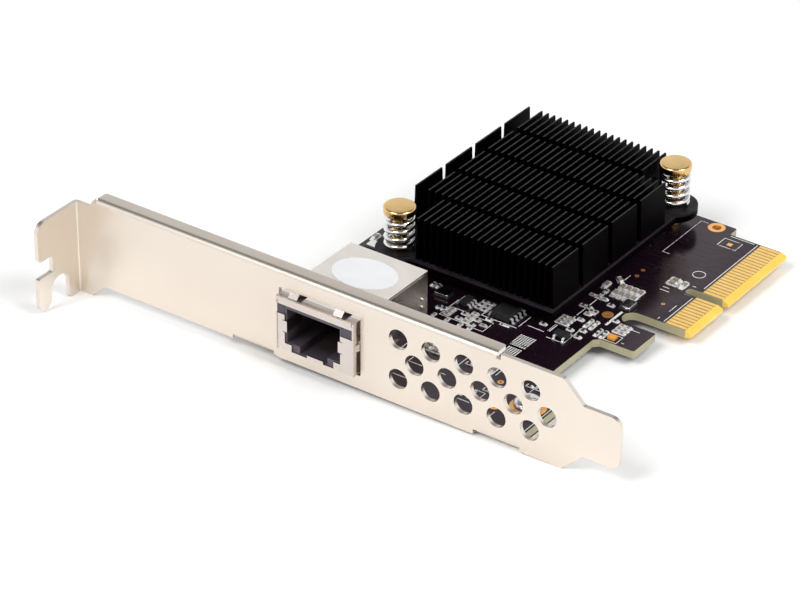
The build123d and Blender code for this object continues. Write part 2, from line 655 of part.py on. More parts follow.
def socket_shell():
    """Folded steel shield: roof, sides, back, cut-out front, legs, fingers and inner leaves."""
    x0, x1 = socket_span(0)
    top = BOARD_TOP + SOCKET_HIGH
    front = SOCKET_FRONT + SHELL_RIM
    shell = block(x0, x1, SOCKET_FRONT, SOCKET_BACK, BOARD_TOP, top)
    shell = fillet(shell.edges().filter_by(Axis.Z), SHELL_CORNER_R)
    i0, i1 = socket_span(SHELL_WALL)
    shell -= block(i0, i1, front + SHELL_WALL, SOCKET_BACK - SHELL_WALL, BOARD_TOP - 1,
                   top - SHELL_WALL)
    shell -= block(i0, i1, SOCKET_FRONT - 1, front, BOARD_TOP - 1, HEM_LOW)
    shell -= shell_cut_out()
    shell -= block(i0, i1, front - 1, front + HEM_GROOVE, HEM_LOW - HEM_GROOVE, HEM_LOW)
    shell -= block(i1 - HEM_GROOVE, i1, front - 1, front + SHELL_WALL, CUT_OUT_TOP - 0.1, top + 1)
    for side in (-1, 1):
        shell += shell_front_leaf(side)
        shell += shell_side_finger(side)
        wall = SOCKET_X + side * SOCKET_WIDTH / 2
        for height in DIMPLE_HEIGHTS:
            turned = Pos(wall, DIMPLE_Y, height) * Rot(0, 90, 0)
            shell += turned * Cylinder(DIMPLE_R, 2 * SHELL_WALL)
    for offset in TOP_FINGERS:
        slot = SOCKET_X + offset + TOP_FINGER_WIDTH
        shell -= block(slot, slot + ROOF_SLOT, front + SHELL_WALL, 1.3, top - SHELL_WALL - 0.1, top + 1)
        shell += shell_top_finger(offset)
    for x, y in leg_places():
        shell += block(x - SHELL_WALL / 2, x + SHELL_WALL / 2, y - LEG_WIDTH / 2, y + LEG_WIDTH / 2,
                       LEG_TIP, BOARD_TOP + 1)
    seam_z = top - SHELL_WALL
    return shell - block(x1 - SHELL_WALL / 2, x1 + 1, SEAM_START, SEAM_END,
                         seam_z - SEAM_WIDTH, seam_z)


def socket_housing():
    """Grey moulding inside the shell: plug cavity, contact groove and light-pipe channels."""
    x0, x1 = socket_span(SHELL_WALL + SHELL_GAP)
    y0 = SOCKET_FRONT + SHELL_RIM + SHELL_WALL + SHELL_GAP
    y1 = SOCKET_BACK - SHELL_WALL - SHELL_GAP
    z1 = BOARD_TOP + SOCKET_HIGH - SHELL_WALL - SHELL_GAP
    housing = block(x0, x1, y0, y1, BOARD_TOP, z1)
    for drill in cavity_drills(y0 - 1, SOCKET_FRONT + CAVITY_DEPTH):
        housing -= drill
    reach = (WIRES - 1) / 2 * WIRE_PITCH + WIRE / 2 + GROOVE_MARGIN
    tail_end = TAIL_ROWS[1] + WIRE / 2 + GROOVE_MARGIN
    housing -= centred(2 * reach, WIRE_FRONT - WIRE - GROOVE_MARGIN, tail_end, CAVITY_TOP - 0.1, GROOVE_TOP)
    housing -= centred(2 * reach, TAIL_ROWS[0] - WIRE / 2 - GROOVE_MARGIN, tail_end, BOARD_TOP - 1,
                       GROOVE_TOP)
    for side in (-1, 1):
        housing -= light_box(side, SHELL_GAP, y0 - 1, SOCKET_FRONT + LIGHT_LENGTH + SHELL_GAP)
        slot_x = CAVITY_X + side * (CAVITY_WIDTH / 2)
        housing -= block(slot_x - LEAF_THICK, slot_x + LEAF_THICK / 2, y0 - 1,
                         SOCKET_FRONT + LEAF_LENGTH + LEAF_THICK, LEAF_LOW - LEAF_THICK,
                         LEAF_HIGH + LEAF_THICK)
    return housing


def socket_contacts():
    """Eight bent contact wires, from the free end in the cavity to the tail under the board."""
    wires = []
    for x, tail_y in tail_places():
        path = FilletPolyline((WIRE_END_Y, WIRE_END_Z), (WIRE_FRONT, WIRE_ROOF),
                              (tail_y, WIRE_ROOF), (tail_y, TAIL_TIP), radius=WIRE_BEND_R)
        flat = trace(path, line_width=WIRE)
        wires.append(Pos(x - WIRE / 2, 0, 0) * extrude(Plane.YZ * flat, amount=WIRE))
    return wires


def light_pipes():
    front = SOCKET_FRONT + SHELL_RIM + SHELL_WALL
    pipes = []
    for side in (-1, 1):
        pipe = light_box(side, -SHELL_GAP, front, SOCKET_FRONT + LIGHT_LENGTH - 0.1)
        pipes.append(Pos(-side * SHELL_GAP, 0, 0) * pipe)
    return pipes


def shell_label():
    top = BOARD_TOP + SOCKET_HIGH
    return Pos(SOCKET_X, LABEL_Y, top) * extrude(Ellipse(LABEL_RX, LABEL_RY), amount=LABEL_THICK)


def fin_row(row):
    """One cross-cut row of tapered fins, shorter where a push pin stands."""
    first = FRONT_NOTCH_COLUMNS if row == 0 else 0
    last = FIN_COLUMNS - BACK_NOTCH_COLUMNS if row == FIN_ROWS - 1 else FIN_COLUMNS
    high = SINK_TOP - SINK_BASE_TOP
    root = FIN_ROOT / 2
    tip = FIN_TIP / 2
    fins = []
    for column in range(first, last):
        if column == FIN_MISSING:
            continue
        x = FIN_FIRST_X + column * FIN_PITCH
        profile = Polyline((x - root, -0.1), (x + root, -0.1), (x + tip, high), (x - tip, high),
                           close=True)
        fins.append(make_face(profile))
    length = FIN_ROW_PITCH - CROSS_CUT
    start = FIN_FRONT + row * FIN_ROW_PITCH
    return [Pos(0, start, SINK_BASE_TOP) * extrude(Plane.XZ * fin, amount=-length) for fin in fins]


def heat_sink():
    """Extruded base with two pin ears and five cross-cut rows of tapered fins."""
    base = block(SINK_LEFT, SINK_RIGHT, SINK_FRONT, SINK_BACK, SINK_BASE_LOW, SINK_BASE_TOP)
    for x, y in push_pin_places():
        base += rod(x, y, SINK_EAR_R, SINK_BASE_LOW, SINK_BASE_TOP)
    base = chamfer(base.edges().group_by(Axis.Z)[0], BASE_EDGE)
    for x, y in push_pin_places():
        base -= rod(x, y, PIN_HOLE_R, SINK_BASE_LOW - 1, SINK_BASE_TOP + 1)
    fins = [fin for row in range(FIN_ROWS) for fin in fin_row(row)]
    return base + fins


def push_pins():
    """Brass pins: domed head, shank, and a split barb that snaps through the board."""
    under_head = PIN_HEAD_TOP - PIN_HEAD_THICK
    shoulder = BOARD_BOTTOM - BARB_GAP
    outline = FilletPolyline(
        (0, PIN_TIP), (PIN_SHANK_R * 0.8, PIN_TIP), (BARB_R, shoulder - 0.7), (BARB_R, shoulder),
        (PIN_SHANK_R, shoulder), (PIN_SHANK_R, under_head), (PIN_HEAD_R, under_head),
        (PIN_HEAD_R, PIN_HEAD_TOP), (0, PIN_HEAD_TOP),
        radius=[0, 0, 0, 0, 0, 0, 0, PIN_DOME_R, 0], close=True)
    pin = revolve(Plane.XZ * make_face(outline), axis=Axis.Z)
    reach = BARB_R + 1
    slit = block(-BARB_SPLIT / 2, BARB_SPLIT / 2, -reach, reach, PIN_TIP - 1, BOARD_TOP - 0.4)
    pin -= slit
    return [Pos(x, y, 0) * Rot(0, 0, 30) * pin for x, y in push_pin_places()]


def pin_springs():
    """Compression springs between the pin heads and the heat sink's base."""
    low = SINK_BASE_TOP + SPRING_GAP + SPRING_WIRE_R
    high = PIN_HEAD_TOP - PIN_HEAD_THICK - SPRING_GAP - SPRING_WIRE_R
    coil = Helix((high - low) / SPRING_TURNS, high - low, SPRING_R)
    section = Plane(origin=coil @ 0, z_dir=coil % 0) * RegularPolygon(SPRING_WIRE_R, WIRE_SIDES)
    spring = sweep(section, path=coil, is_frenet=True)
    return [Pos(x, y, low) * spring for x, y in push_pin_places()]


def controller_substrate():
    half = SUBSTRATE / 2
    return block(CHIP_X - half, CHIP_X + half, CHIP_Y - half, CHIP_Y + half,
                 BOARD_TOP, BOARD_TOP + SUBSTRATE_THICK)


def controller_lid():
    half = LID / 2
    low = BOARD_TOP + SUBSTRATE_THICK
    high = SINK_BASE_LOW - PAD_GAP_THICK
    lid = block(CHIP_X - half, CHIP_X + half, CHIP_Y - half, CHIP_Y + half, low, high)
    return chamfer(lid.edges().group_by(Axis.Z)[-1], LID_CHAMFER)


def thermal_pad():
    half = LID / 2 - LID_CHAMFER
    return block(CHIP_X - half, CHIP_X + half, CHIP_Y - half, CHIP_Y + half,
                 SINK_BASE_LOW - PAD_GAP_THICK, SINK_BASE_LOW)


def package_body(at, body):
    """Moulded package, with a slight draft above and below its parting line."""
    size_x, size_y, high = body
    half_high = high / 2
    upper = extrude(Rectangle(size_x, size_y), amount=half_high, taper=8)
    lower = mirror(upper, about=Plane.XY)
    x, y, turn = at
    return Pos(x, y, BOARD_TOP + BODY_LIFT + half_high) * Rot(0, 0, turn) * (upper + lower)


def package_leads(at, body, pins, pitch):
    """Gull-wing leads on the two X sides of a package."""
    size_x, size_y, high = body
    x, y, turn = at
    middle = BOARD_TOP + BODY_LIFT + high / 2
    foot = BOARD_TOP + LEAD_THICK / 2
    leads = []
    for side in (-1, 1):
        root = size_x / 2
        knee = root + LEAD_REACH - LEAD_FOOT
        path = FilletPolyline((side * root, middle), (side * knee, middle),
                              (side * (knee + 0.08), foot), (side * (root + LEAD_REACH), foot),
                              radius=0.12)
        flat = Plane.XZ * trace(path, line_width=LEAD_THICK)
        lead = extrude(flat, amount=LEAD_WIDTH / 2, both=True)
        for pin in range(pins):
            shift = (pin - (pins - 1) / 2) * pitch
            leads.append(Pos(x, y, 0) * Rot(0, 0, turn) * Pos(0, shift, 0) * lead)
    return leads


def chip_body(size):
    length, width, high = size
    low = BODY_SHRINK / 2
    return Pos(0, 0, low) * Box(length - 2 * CHIP_END, width - BODY_SHRINK, high - BODY_SHRINK,
                                align=(Align.CENTER, Align.CENTER, Align.MIN))


def chip_ends(size):
    length, width, high = size
    end = Box(CHIP_END, width, high, align=(Align.CENTER, Align.CENTER, Align.MIN))
    reach = length / 2 - CHIP_END / 2
    return [Pos(-reach, 0, 0) * end, Pos(reach, 0, 0) * end]


def chip_bodies(clusters, size):
    return [place * chip_body(size) for c in clusters for place in cluster_places(c)]


def chip_terminals():
    """Tinned ends of every chip part on the component side."""
    ends = []
    for clusters, size in ((CAPACITOR_CLUSTERS, SMALL_CHIP), (RESISTOR_CLUSTERS, SMALL_CHIP),
                           (LARGE_CLUSTERS, LARGE_CHIP)):
        for cluster in clusters:
            for place in cluster_places(cluster):
                ends += [place * end for end in chip_ends(size)]
    return ends


def rear_capacitors():
    """Decoupling parts on the solder side, below the controller."""
    drop = Pos(0, 0, BOARD_BOTTOM - BOARD_TOP - SMALL_CHIP[2])
    full = Box(*SMALL_CHIP, align=(Align.CENTER, Align.CENTER, Align.MIN))
    return [drop * place * full for place in cluster_places(REAR_CLUSTER)]


def crystal_bases():
    size_x, size_y, high = CRYSTAL
    base = block(-size_x / 2, size_x / 2, -size_y / 2, size_y / 2, BOARD_TOP, BOARD_TOP + CRYSTAL_BASE)
    return [Pos(x, y, 0) * Rot(0, 0, turn) * base for x, y, turn in CRYSTAL_PLACES]


def crystal_lids():
    size_x, size_y, high = CRYSTAL
    half_x = size_x / 2 - 0.15
    half_y = size_y / 2 - 0.15
    lid = block(-half_x, half_x, -half_y, half_y, BOARD_TOP + CRYSTAL_BASE, BOARD_TOP + high)
    lid = fillet(lid.edges().filter_by(Axis.Z), 0.4)
    return [Pos(x, y, 0) * Rot(0, 0, turn) * lid for x, y, turn in CRYSTAL_PLACES]


def power_coils():
    """Moulded power inductors with a round core face."""
    coils = []
    half = COIL / 2
    for x, y in COIL_PLACES:
        coil = block(x - half, x + half, y - half, y + half, BOARD_TOP, BOARD_TOP + COIL_HIGH)
        coil = chamfer(coil.edges().filter_by(Axis.Z), 0.9)
        coil -= ring(x, y, COIL_CORE_R + 0.25, COIL_CORE_R, BOARD_TOP + COIL_HIGH - 0.3,
                     BOARD_TOP + COIL_HIGH + 1)
        coils.append(coil)
    return coils


def bulk_capacitors():
    """Moulded block capacitors with the chamfered polarity edge."""
    size_x, size_y, high = TANTALUM
    blocks = []
    for x, y in TANTALUM_PLACES:
        body = block(x - size_x / 2, x + size_x / 2, y - size_y / 2, y + size_y / 2,
                     BOARD_TOP + BODY_LIFT, BOARD_TOP + high)
        top = body.edges().group_by(Axis.Z)[-1].filter_by(Axis.Y)
        blocks.append(chamfer(top, 0.35))
    return blocks


def bulk_capacitor_feet():
    size_x, size_y, high = TANTALUM
    feet = []
    for x, y in TANTALUM_PLACES:
        for side in (-1, 1):
            outer = x + side * size_x / 2
            inner = outer - side * TANTALUM_FOOT
            feet.append(block(min(outer, inner), max(outer, inner), y - 1.1, y + 1.1,
                              BOARD_TOP, BOARD_TOP + BODY_LIFT))
    return feet


def orange_chip():
    size_x, size_y, high = ORANGE_CHIP
    x, y = ORANGE_AT
    return block(x - size_x / 2, x + size_x / 2, y - size_y / 2, y + size_y / 2,
                 BOARD_TOP, BOARD_TOP + high)


PIECES = {
    "slot_bracket": slot_bracket,
    "circuit_board": circuit_board,
    "edge_contacts_front": lambda: edge_contacts(BOARD_TOP),
    "edge_contacts_rear": lambda: edge_contacts(BOARD_BOTTOM - PAD_THICK),
    "copper_lands": copper_lands,
    "board_screws": board_screws,
    "socket_shell": socket_shell,
    "socket_housing": socket_housing,
    "socket_contacts": socket_contacts,
    "light_pipes": light_pipes,
    "shell_label": shell_label,
    "heat_sink": heat_sink,
    "push_pins": push_pins,
    "pin_springs": pin_springs,
    "controller_substrate": controller_substrate,
    "controller_lid": controller_lid,
    "thermal_pad": thermal_pad,
    "memory_chip": lambda: package_body(MEMORY_AT, MEMORY_BODY),
    "memory_leads": lambda: package_leads(MEMORY_AT, MEMORY_BODY, MEMORY_PINS, MEMORY_PITCH),
    "driver_chip": lambda: package_body(DRIVER_AT, DRIVER_BODY),
    "driver_leads": lambda: package_leads(DRIVER_AT, DRIVER_BODY, DRIVER_PINS, DRIVER_PITCH),
    "switch_chip": lambda: package_body(SWITCH_AT, SWITCH_BODY),
    "switch_leads": lambda: package_leads(SWITCH_AT, SWITCH_BODY, SWITCH_PINS, SWITCH_PITCH),
    "small_capacitors": lambda: chip_bodies(CAPACITOR_CLUSTERS, SMALL_CHIP),
    "small_resistors": lambda: chip_bodies(RESISTOR_CLUSTERS, SMALL_CHIP),
    "large_capacitors": lambda: chip_bodies(LARGE_CLUSTERS, LARGE_CHIP),
    "chip_terminals": chip_terminals,
    "rear_capacitors": rear_capacitors,
    "crystal_bases": crystal_bases,
    "crystal_lids": crystal_lids,
    "power_coils": power_coils,
    "bulk_capacitors": bulk_capacitors,
    "bulk_capacitor_feet": bulk_capacitor_feet,
    "orange_chip": orange_chip,
}


def main():
    os.makedirs("parts", exist_ok=True)
    for name, make in PIECES.items():
        made = make()
        solids = made if isinstance(made, list) else [made]
        flat = [solid for item in solids for solid in item.solids()]
        shape = flat[0] if len(flat) == 1 else Compound(children=flat)
        export_step(shape, f"parts/{name}.step")


main()
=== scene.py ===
import json
import math
import random

import bmesh
import bpy
from mathutils import Matrix, Vector


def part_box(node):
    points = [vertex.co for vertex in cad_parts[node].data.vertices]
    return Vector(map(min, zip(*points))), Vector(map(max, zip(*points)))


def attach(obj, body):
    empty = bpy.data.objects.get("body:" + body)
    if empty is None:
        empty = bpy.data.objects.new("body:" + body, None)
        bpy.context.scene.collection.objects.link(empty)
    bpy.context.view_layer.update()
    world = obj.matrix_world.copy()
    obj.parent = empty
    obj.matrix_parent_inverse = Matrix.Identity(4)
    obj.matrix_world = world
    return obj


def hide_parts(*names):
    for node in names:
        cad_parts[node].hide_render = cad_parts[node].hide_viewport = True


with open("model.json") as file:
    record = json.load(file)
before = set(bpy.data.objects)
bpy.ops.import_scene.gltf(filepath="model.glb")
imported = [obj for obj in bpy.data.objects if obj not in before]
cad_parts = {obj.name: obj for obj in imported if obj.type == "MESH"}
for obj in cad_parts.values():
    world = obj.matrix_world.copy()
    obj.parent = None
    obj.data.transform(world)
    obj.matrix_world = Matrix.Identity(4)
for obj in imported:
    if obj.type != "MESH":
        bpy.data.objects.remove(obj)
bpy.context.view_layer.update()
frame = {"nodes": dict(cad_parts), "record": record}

MM = 0.001
BODY = "root"

# Camera, as fitted to the photograph
IMAGE_WIDTH = 800
SENSOR = 36.0
CLIP_START = 0.01
FOCAL_PX = 3527.8
CAMERA_AT = Vector((0.37544, -0.42470, 0.34202))
AZIMUTH = 35.420
ELEVATION = 31.574
ROLL = 0.285

# Places of the frame that scene pieces sit on
BOARD_LOW, BOARD_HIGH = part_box("circuit_board")
PIN_LOW, PIN_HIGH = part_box("push_pins")
SPRING_LOW, SPRING_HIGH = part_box("pin_springs")
BOARD_TOP = BOARD_HIGH.z
BOARD_BOTTOM = BOARD_LOW.z


def mm(*values):
    """Millimetres to a vector in metres."""
    return Vector([v * MM for v in values])


# Small helpers for node trees


def node(tree, kind, inputs=None, **settings):
    """Adds a node, sets its properties, and fills or links its named inputs."""
    made = tree.nodes.new(kind)
    for name, value in settings.items():
        setattr(made, name, value)
    for name, value in (inputs or {}).items():
        if isinstance(value, bpy.types.NodeSocket):
            tree.links.new(value, made.inputs[name])
        else:
            made.inputs[name].default_value = value
    return made


def maths(tree, operation, *values):
    """Math node; each value is a number or a socket."""
    return node(tree, "ShaderNodeMath", dict(enumerate(values)), operation=operation).outputs[0]


def shader_group(name, inputs, outputs):
    """Empty shader node group with named sockets: (name, type, default) and (name, type)."""
    tree = bpy.data.node_groups.new(name, "ShaderNodeTree")
    for label, kind, default in inputs:
        socket = tree.interface.new_socket(label, in_out="INPUT", socket_type="NodeSocket" + kind)
        socket.default_value = default
    for label, kind in outputs:
        tree.interface.new_socket(label, in_out="OUTPUT", socket_type="NodeSocket" + kind)
    return tree, tree.nodes.new("NodeGroupInput"), tree.nodes.new("NodeGroupOutput")


def geometry_tree(name, inputs):
    """Empty Geometry Nodes tree with named inputs (name, type, default) and a material input."""
    tree = bpy.data.node_groups.new(name, "GeometryNodeTree")
    tree.is_modifier = True
    sockets = tree.interface
    sockets.new_socket("Geometry", in_out="INPUT", socket_type="NodeSocketGeometry")
    for label, kind, default in inputs:
        socket = sockets.new_socket(label, in_out="INPUT", socket_type="NodeSocket" + kind)
        socket.default_value = default
    sockets.new_socket("Material", in_out="INPUT", socket_type="NodeSocketMaterial")
    sockets.new_socket("Geometry", in_out="OUTPUT", socket_type="NodeSocketGeometry")
    return tree, tree.nodes.new("NodeGroupInput"), tree.nodes.new("NodeGroupOutput")


def close_tree(tree, start, end, geometry):
    """Every tree ends in real geometry with its material."""
    real = node(tree, "GeometryNodeRealizeInstances", {"Geometry": geometry}).outputs[0]
    painted = node(tree, "GeometryNodeSetMaterial", {
        "Geometry": real, "Material": start.outputs["Material"]}).outputs[0]
    tree.links.new(painted, end.inputs["Geometry"])


WIRE_STEPS = 260
WIRE_SIDES = 14
CLOSED_PITCH = 2.02


def coil_spring_tree():
    """Round-wire compression spring with closed end turns, on each point of the carrier."""
    tree, start, end = geometry_tree("Coil spring", [
        ("Radius", "Float", 0.0026), ("Wire", "Float", 0.0004), ("Turns", "Float", 5.0),
        ("Bottom", "Float", 0.0), ("Top", "Float", 0.01)])
    value = start.outputs
    line = node(tree, "GeometryNodeCurvePrimitiveLine", {"End": (0, 0, 0.01)}).outputs[0]
    fine = node(tree, "GeometryNodeResampleCurve", {"Curve": line, "Count": WIRE_STEPS}).outputs[0]
    along = node(tree, "GeometryNodeSplineParameter").outputs["Factor"]
    turned = maths(tree, "MULTIPLY", along, value["Turns"])
    angle = maths(tree, "MULTIPLY", turned, 2 * math.pi)
    diameter = maths(tree, "MULTIPLY", value["Wire"], CLOSED_PITCH)
    first = node(tree, "ShaderNodeClamp", {0: turned}).outputs[0]
    rest = maths(tree, "SUBTRACT", turned, maths(tree, "SUBTRACT", value["Turns"], 1.0))
    last = node(tree, "ShaderNodeClamp", {0: rest}).outputs[0]
    open_turns = maths(tree, "SUBTRACT", value["Turns"], 2.0)
    middle = node(tree, "ShaderNodeClamp", {
        0: maths(tree, "DIVIDE", maths(tree, "SUBTRACT", turned, 1.0), open_turns)}).outputs[0]
    height = maths(tree, "SUBTRACT", value["Top"], value["Bottom"])
    solid = maths(tree, "MULTIPLY", value["Wire"], 2 * CLOSED_PITCH + 2)
    free = maths(tree, "SUBTRACT", height, solid)
    closed = maths(tree, "MULTIPLY", maths(tree, "ADD", first, last), diameter)
    rise = maths(tree, "ADD", closed, maths(tree, "MULTIPLY", middle, free))
    base = maths(tree, "ADD", value["Bottom"], value["Wire"])
    place = node(tree, "ShaderNodeCombineXYZ", {
        "X": maths(tree, "MULTIPLY", maths(tree, "COSINE", angle), value["Radius"]),
        "Y": maths(tree, "MULTIPLY", maths(tree, "SINE", angle), value["Radius"]),
        "Z": maths(tree, "ADD", base, rise)}).outputs[0]
    helix = node(tree, "GeometryNodeSetPosition", {"Geometry": fine, "Position": place}).outputs[0]
    section = node(tree, "GeometryNodeCurvePrimitiveCircle", {
        "Resolution": WIRE_SIDES, "Radius": value["Wire"]}).outputs[0]
    wire = node(tree, "GeometryNodeCurveToMesh", {
        "Curve": helix, "Profile Curve": section, "Fill Caps": True}).outputs[0]
    placed = node(tree, "GeometryNodeInstanceOnPoints", {
        "Points": value["Geometry"], "Instance": wire}).outputs[0]
    close_tree(tree, start, end, placed)
    return tree


def flat_line_tree():
    """Flat bar of even width along each spline of the carrier: print lines and traces."""
    tree, start, end = geometry_tree("Flat line", [
        ("Width", "Float", 0.00016), ("Thickness", "Float", 0.00001)])
    upright = node(tree, "GeometryNodeSetCurveNormal", {"Curve": start.outputs["Geometry"]})
    upright.mode = "Z_UP"
    section = node(tree, "GeometryNodeCurvePrimitiveQuadrilateral", {
        "Width": start.outputs["Width"], "Height": start.outputs["Thickness"]}).outputs[0]
    bar = node(tree, "GeometryNodeCurveToMesh", {
        "Curve": upright.outputs[0], "Profile Curve": section, "Fill Caps": True}).outputs[0]
    close_tree(tree, start, end, bar)
    return tree


def solder_tree():
    """Solder mound under each chip end; the carrier's points carry a turn and a size."""
    tree, start, end = geometry_tree("Solder mound", [
        ("Foot length", "Float", 0.0008), ("Foot width", "Float", 0.0006),
        ("Crest", "Float", 0.36), ("Height", "Float", 0.00022)])
    value = start.outputs
    cone = node(tree, "GeometryNodeMeshCone", {
        "Vertices": 4, "Radius Top": value["Crest"], "Radius Bottom": 1.0, "Depth": 1.0})
    squared = node(tree, "GeometryNodeTransform", {
        "Geometry": cone.outputs["Mesh"], "Rotation": (0, 0, math.radians(45))}).outputs[0]
    half = math.sqrt(0.5)
    size = node(tree, "ShaderNodeCombineXYZ", {
        "X": maths(tree, "MULTIPLY", value["Foot length"], half),
        "Y": maths(tree, "MULTIPLY", value["Foot width"], half),
        "Z": value["Height"]}).outputs[0]
    shaped = node(tree, "GeometryNodeTransform", {"Geometry": squared, "Scale": size}).outputs[0]
    turn = node(tree, "GeometryNodeInputNamedAttribute", {"Name": "turn"},
                data_type="FLOAT_VECTOR").outputs[0]
    scale = node(tree, "GeometryNodeInputNamedAttribute", {"Name": "size"},
                 data_type="FLOAT_VECTOR").outputs[0]
    placed = node(tree, "GeometryNodeInstanceOnPoints", {
        "Points": value["Geometry"], "Instance": shaped, "Rotation": turn, "Scale": scale})
    close_tree(tree, start, end, placed.outputs[0])
    return tree


def dot_tree():
    """Low round mound on each point: tented vias, solder joints and printed dots."""
    tree, start, end = geometry_tree("Dot", [
        ("Radius", "Float", 0.0003), ("Crest", "Float", 0.6), ("Height", "Float", 0.00002),
        ("Sides", "Int", 12)])
    value = start.outputs
    crest = maths(tree, "MULTIPLY", value["Radius"], value["Crest"])
    cone = node(tree, "GeometryNodeMeshCone", {
        "Vertices": value["Sides"], "Radius Top": crest, "Radius Bottom": value["Radius"],
        "Depth": value["Height"]})
    placed = node(tree, "GeometryNodeInstanceOnPoints", {
        "Points": value["Geometry"], "Instance": cone.outputs["Mesh"]}).outputs[0]
    close_tree(tree, start, end, placed)
    return tree


def stretched_grain_group():
    """Noise on object coordinates, stretched along an axis: rolled sheet, extrusion, moulding."""
    tree, start, end = shader_group(
        "Stretched grain",
        [("Stretch", "Vector", (1, 1, 1)), ("Scale", "Float", 1000.0), ("Detail", "Float", 2.0)],
        [("Value", "Float")])
    place = node(tree, "ShaderNodeTexCoord").outputs["Object"]
    scaled = node(tree, "ShaderNodeVectorMath", {0: place, 1: start.outputs["Stretch"]},
                  operation="MULTIPLY").outputs[0]
    noise = node(tree, "ShaderNodeTexNoise", {
        "Vector": scaled, "Scale": start.outputs["Scale"], "Detail": start.outputs["Detail"]})
    tree.links.new(noise.outputs["Fac"], end.inputs["Value"])
    return tree


def mottled_colour_group():
    """Two colours mixed in soft patches."""
    tree, start, end = shader_group(
        "Mottled colour",
        [("First", "Color", (1, 1, 1, 1)), ("Second", "Color", (0, 0, 0, 1)),
         ("Scale", "Float", 100.0), ("Contrast", "Float", 2.0)],
        [("Color", "Color")])
    place = node(tree, "ShaderNodeTexCoord").outputs["Object"]
    noise = node(tree, "ShaderNodeTexNoise", {
        "Vector": place, "Scale": start.outputs["Scale"], "Detail": 4.0})
    centred = maths(tree, "SUBTRACT", noise.outputs["Fac"], 0.5)
    strong = maths(tree, "MULTIPLY", centred, start.outputs["Contrast"])
    mask = node(tree, "ShaderNodeMath", {0: strong, 1: 0.5}, operation="ADD", use_clamp=True)
    mix = node(tree, "ShaderNodeMix", {
        0: mask.outputs[0], 6: start.outputs["First"], 7: start.outputs["Second"]},
        data_type="RGBA")
    tree.links.new(mix.outputs[2], end.inputs["Color"])
    return tree


def uneven_gloss_group():
    """Roughness that drifts between two values in uneven patches."""
    tree, start, end = shader_group(
        "Uneven gloss",
        [("Low", "Float", 0.2), ("High", "Float", 0.4), ("Scale", "Float", 60.0)],
        [("Value", "Float")])
    place = node(tree, "ShaderNodeTexCoord").outputs["Object"]
    broad = node(tree, "ShaderNodeTexNoise", {
        "Vector": place, "Scale": start.outputs["Scale"], "Detail": 5.0, "Distortion": 0.6})
    ranged = node(tree, "ShaderNodeMapRange", {
        "Value": broad.outputs["Fac"], "From Min": 0.3, "From Max": 0.7,
        "To Min": start.outputs["Low"], "To Max": start.outputs["High"]})
    tree.links.new(ranged.outputs[0], end.inputs["Value"])
    return tree


def facing_mask_group():
    """1 where the surface faces along an axis, either way, and 0 where it turns away."""
    tree, start, end = shader_group(
        "Facing mask",
        [("Axis", "Vector", (0, 0, 1)), ("Limit", "Float", 0.7), ("Softness", "Float", 0.1)],
        [("Mask", "Float")])
    normal = node(tree, "ShaderNodeTexCoord").outputs["Normal"]
    dot = node(tree, "ShaderNodeVectorMath", {0: normal, 1: start.outputs["Axis"]},
               operation="DOT_PRODUCT").outputs["Value"]
    turned = maths(tree, "ABSOLUTE", dot)
    top = maths(tree, "ADD", start.outputs["Limit"], start.outputs["Softness"])
    ranged = node(tree, "ShaderNodeMapRange", {
        "Value": turned, "From Min": start.outputs["Limit"], "From Max": top})
    tree.links.new(ranged.outputs[0], end.inputs["Mask"])
    return tree


GRAIN = stretched_grain_group()
MOTTLE = mottled_colour_group()
GLOSS = uneven_gloss_group()
FACING = facing_mask_group()
SPRING_TREE = coil_spring_tree()
LINE_TREE = flat_line_tree()
SOLDER_TREE = solder_tree()
DOT_TREE = dot_tree()


class Finish:
    """One material under construction: a Principled BSDF and the groups that feed it."""

    def __init__(self, name, **constants):
        self.material = bpy.data.materials.new(name)
        self.material.use_nodes = True
        self.tree = self.material.node_tree
        self.shader = self.tree.nodes["Principled BSDF"]
        for label, value in constants.items():
            self.shader.inputs[label.replace("_", " ")].default_value = value

    def group(self, tree, **inputs):
        return node(self.tree, "ShaderNodeGroup", inputs, node_tree=tree).outputs[0]

    def feed(self, label, socket):
        self.tree.links.new(socket, self.shader.inputs[label])

    def mottle(self, first, second, scale, contrast=2.0):
        return self.group(MOTTLE, First=(*first, 1), Second=(*second, 1), Scale=scale,
                          Contrast=contrast)

    def gloss(self, low, high, scale):
        self.feed("Roughness", self.group(GLOSS, Low=low, High=high, Scale=scale))

    def mix(self, mask, first, second):
        """Second where the mask is 1; colours are sockets or triples."""
        values = {0: mask}
        for index, colour in ((6, first), (7, second)):
            values[index] = colour if isinstance(colour, bpy.types.NodeSocket) else (*colour, 1)
        return node(self.tree, "ShaderNodeMix", values, data_type="RGBA").outputs[2]

    def texture(self, scale, detail, strength, depth, stretch=(1, 1, 1)):
        """Fine relief; the depth is in mm, and a small stretch draws the grain out."""
        grain = self.group(GRAIN, Stretch=stretch, Scale=scale, Detail=detail)
        made = node(self.tree, "ShaderNodeBump", {
            "Height": grain, "Strength": strength, "Distance": depth * MM})
        self.feed("Normal", made.outputs[0])

    def place(self, axis):
        """Distance along one axis of the card, in metres."""
        where = node(self.tree, "ShaderNodeTexCoord").outputs["Object"]
        return node(self.tree, "ShaderNodeSeparateXYZ", {0: where}).outputs[axis]

    def past(self, axis, limit):
        """1 where the card's coordinate is over a limit in mm."""
        return maths(self.tree, "GREATER_THAN", self.place(axis), limit * MM)


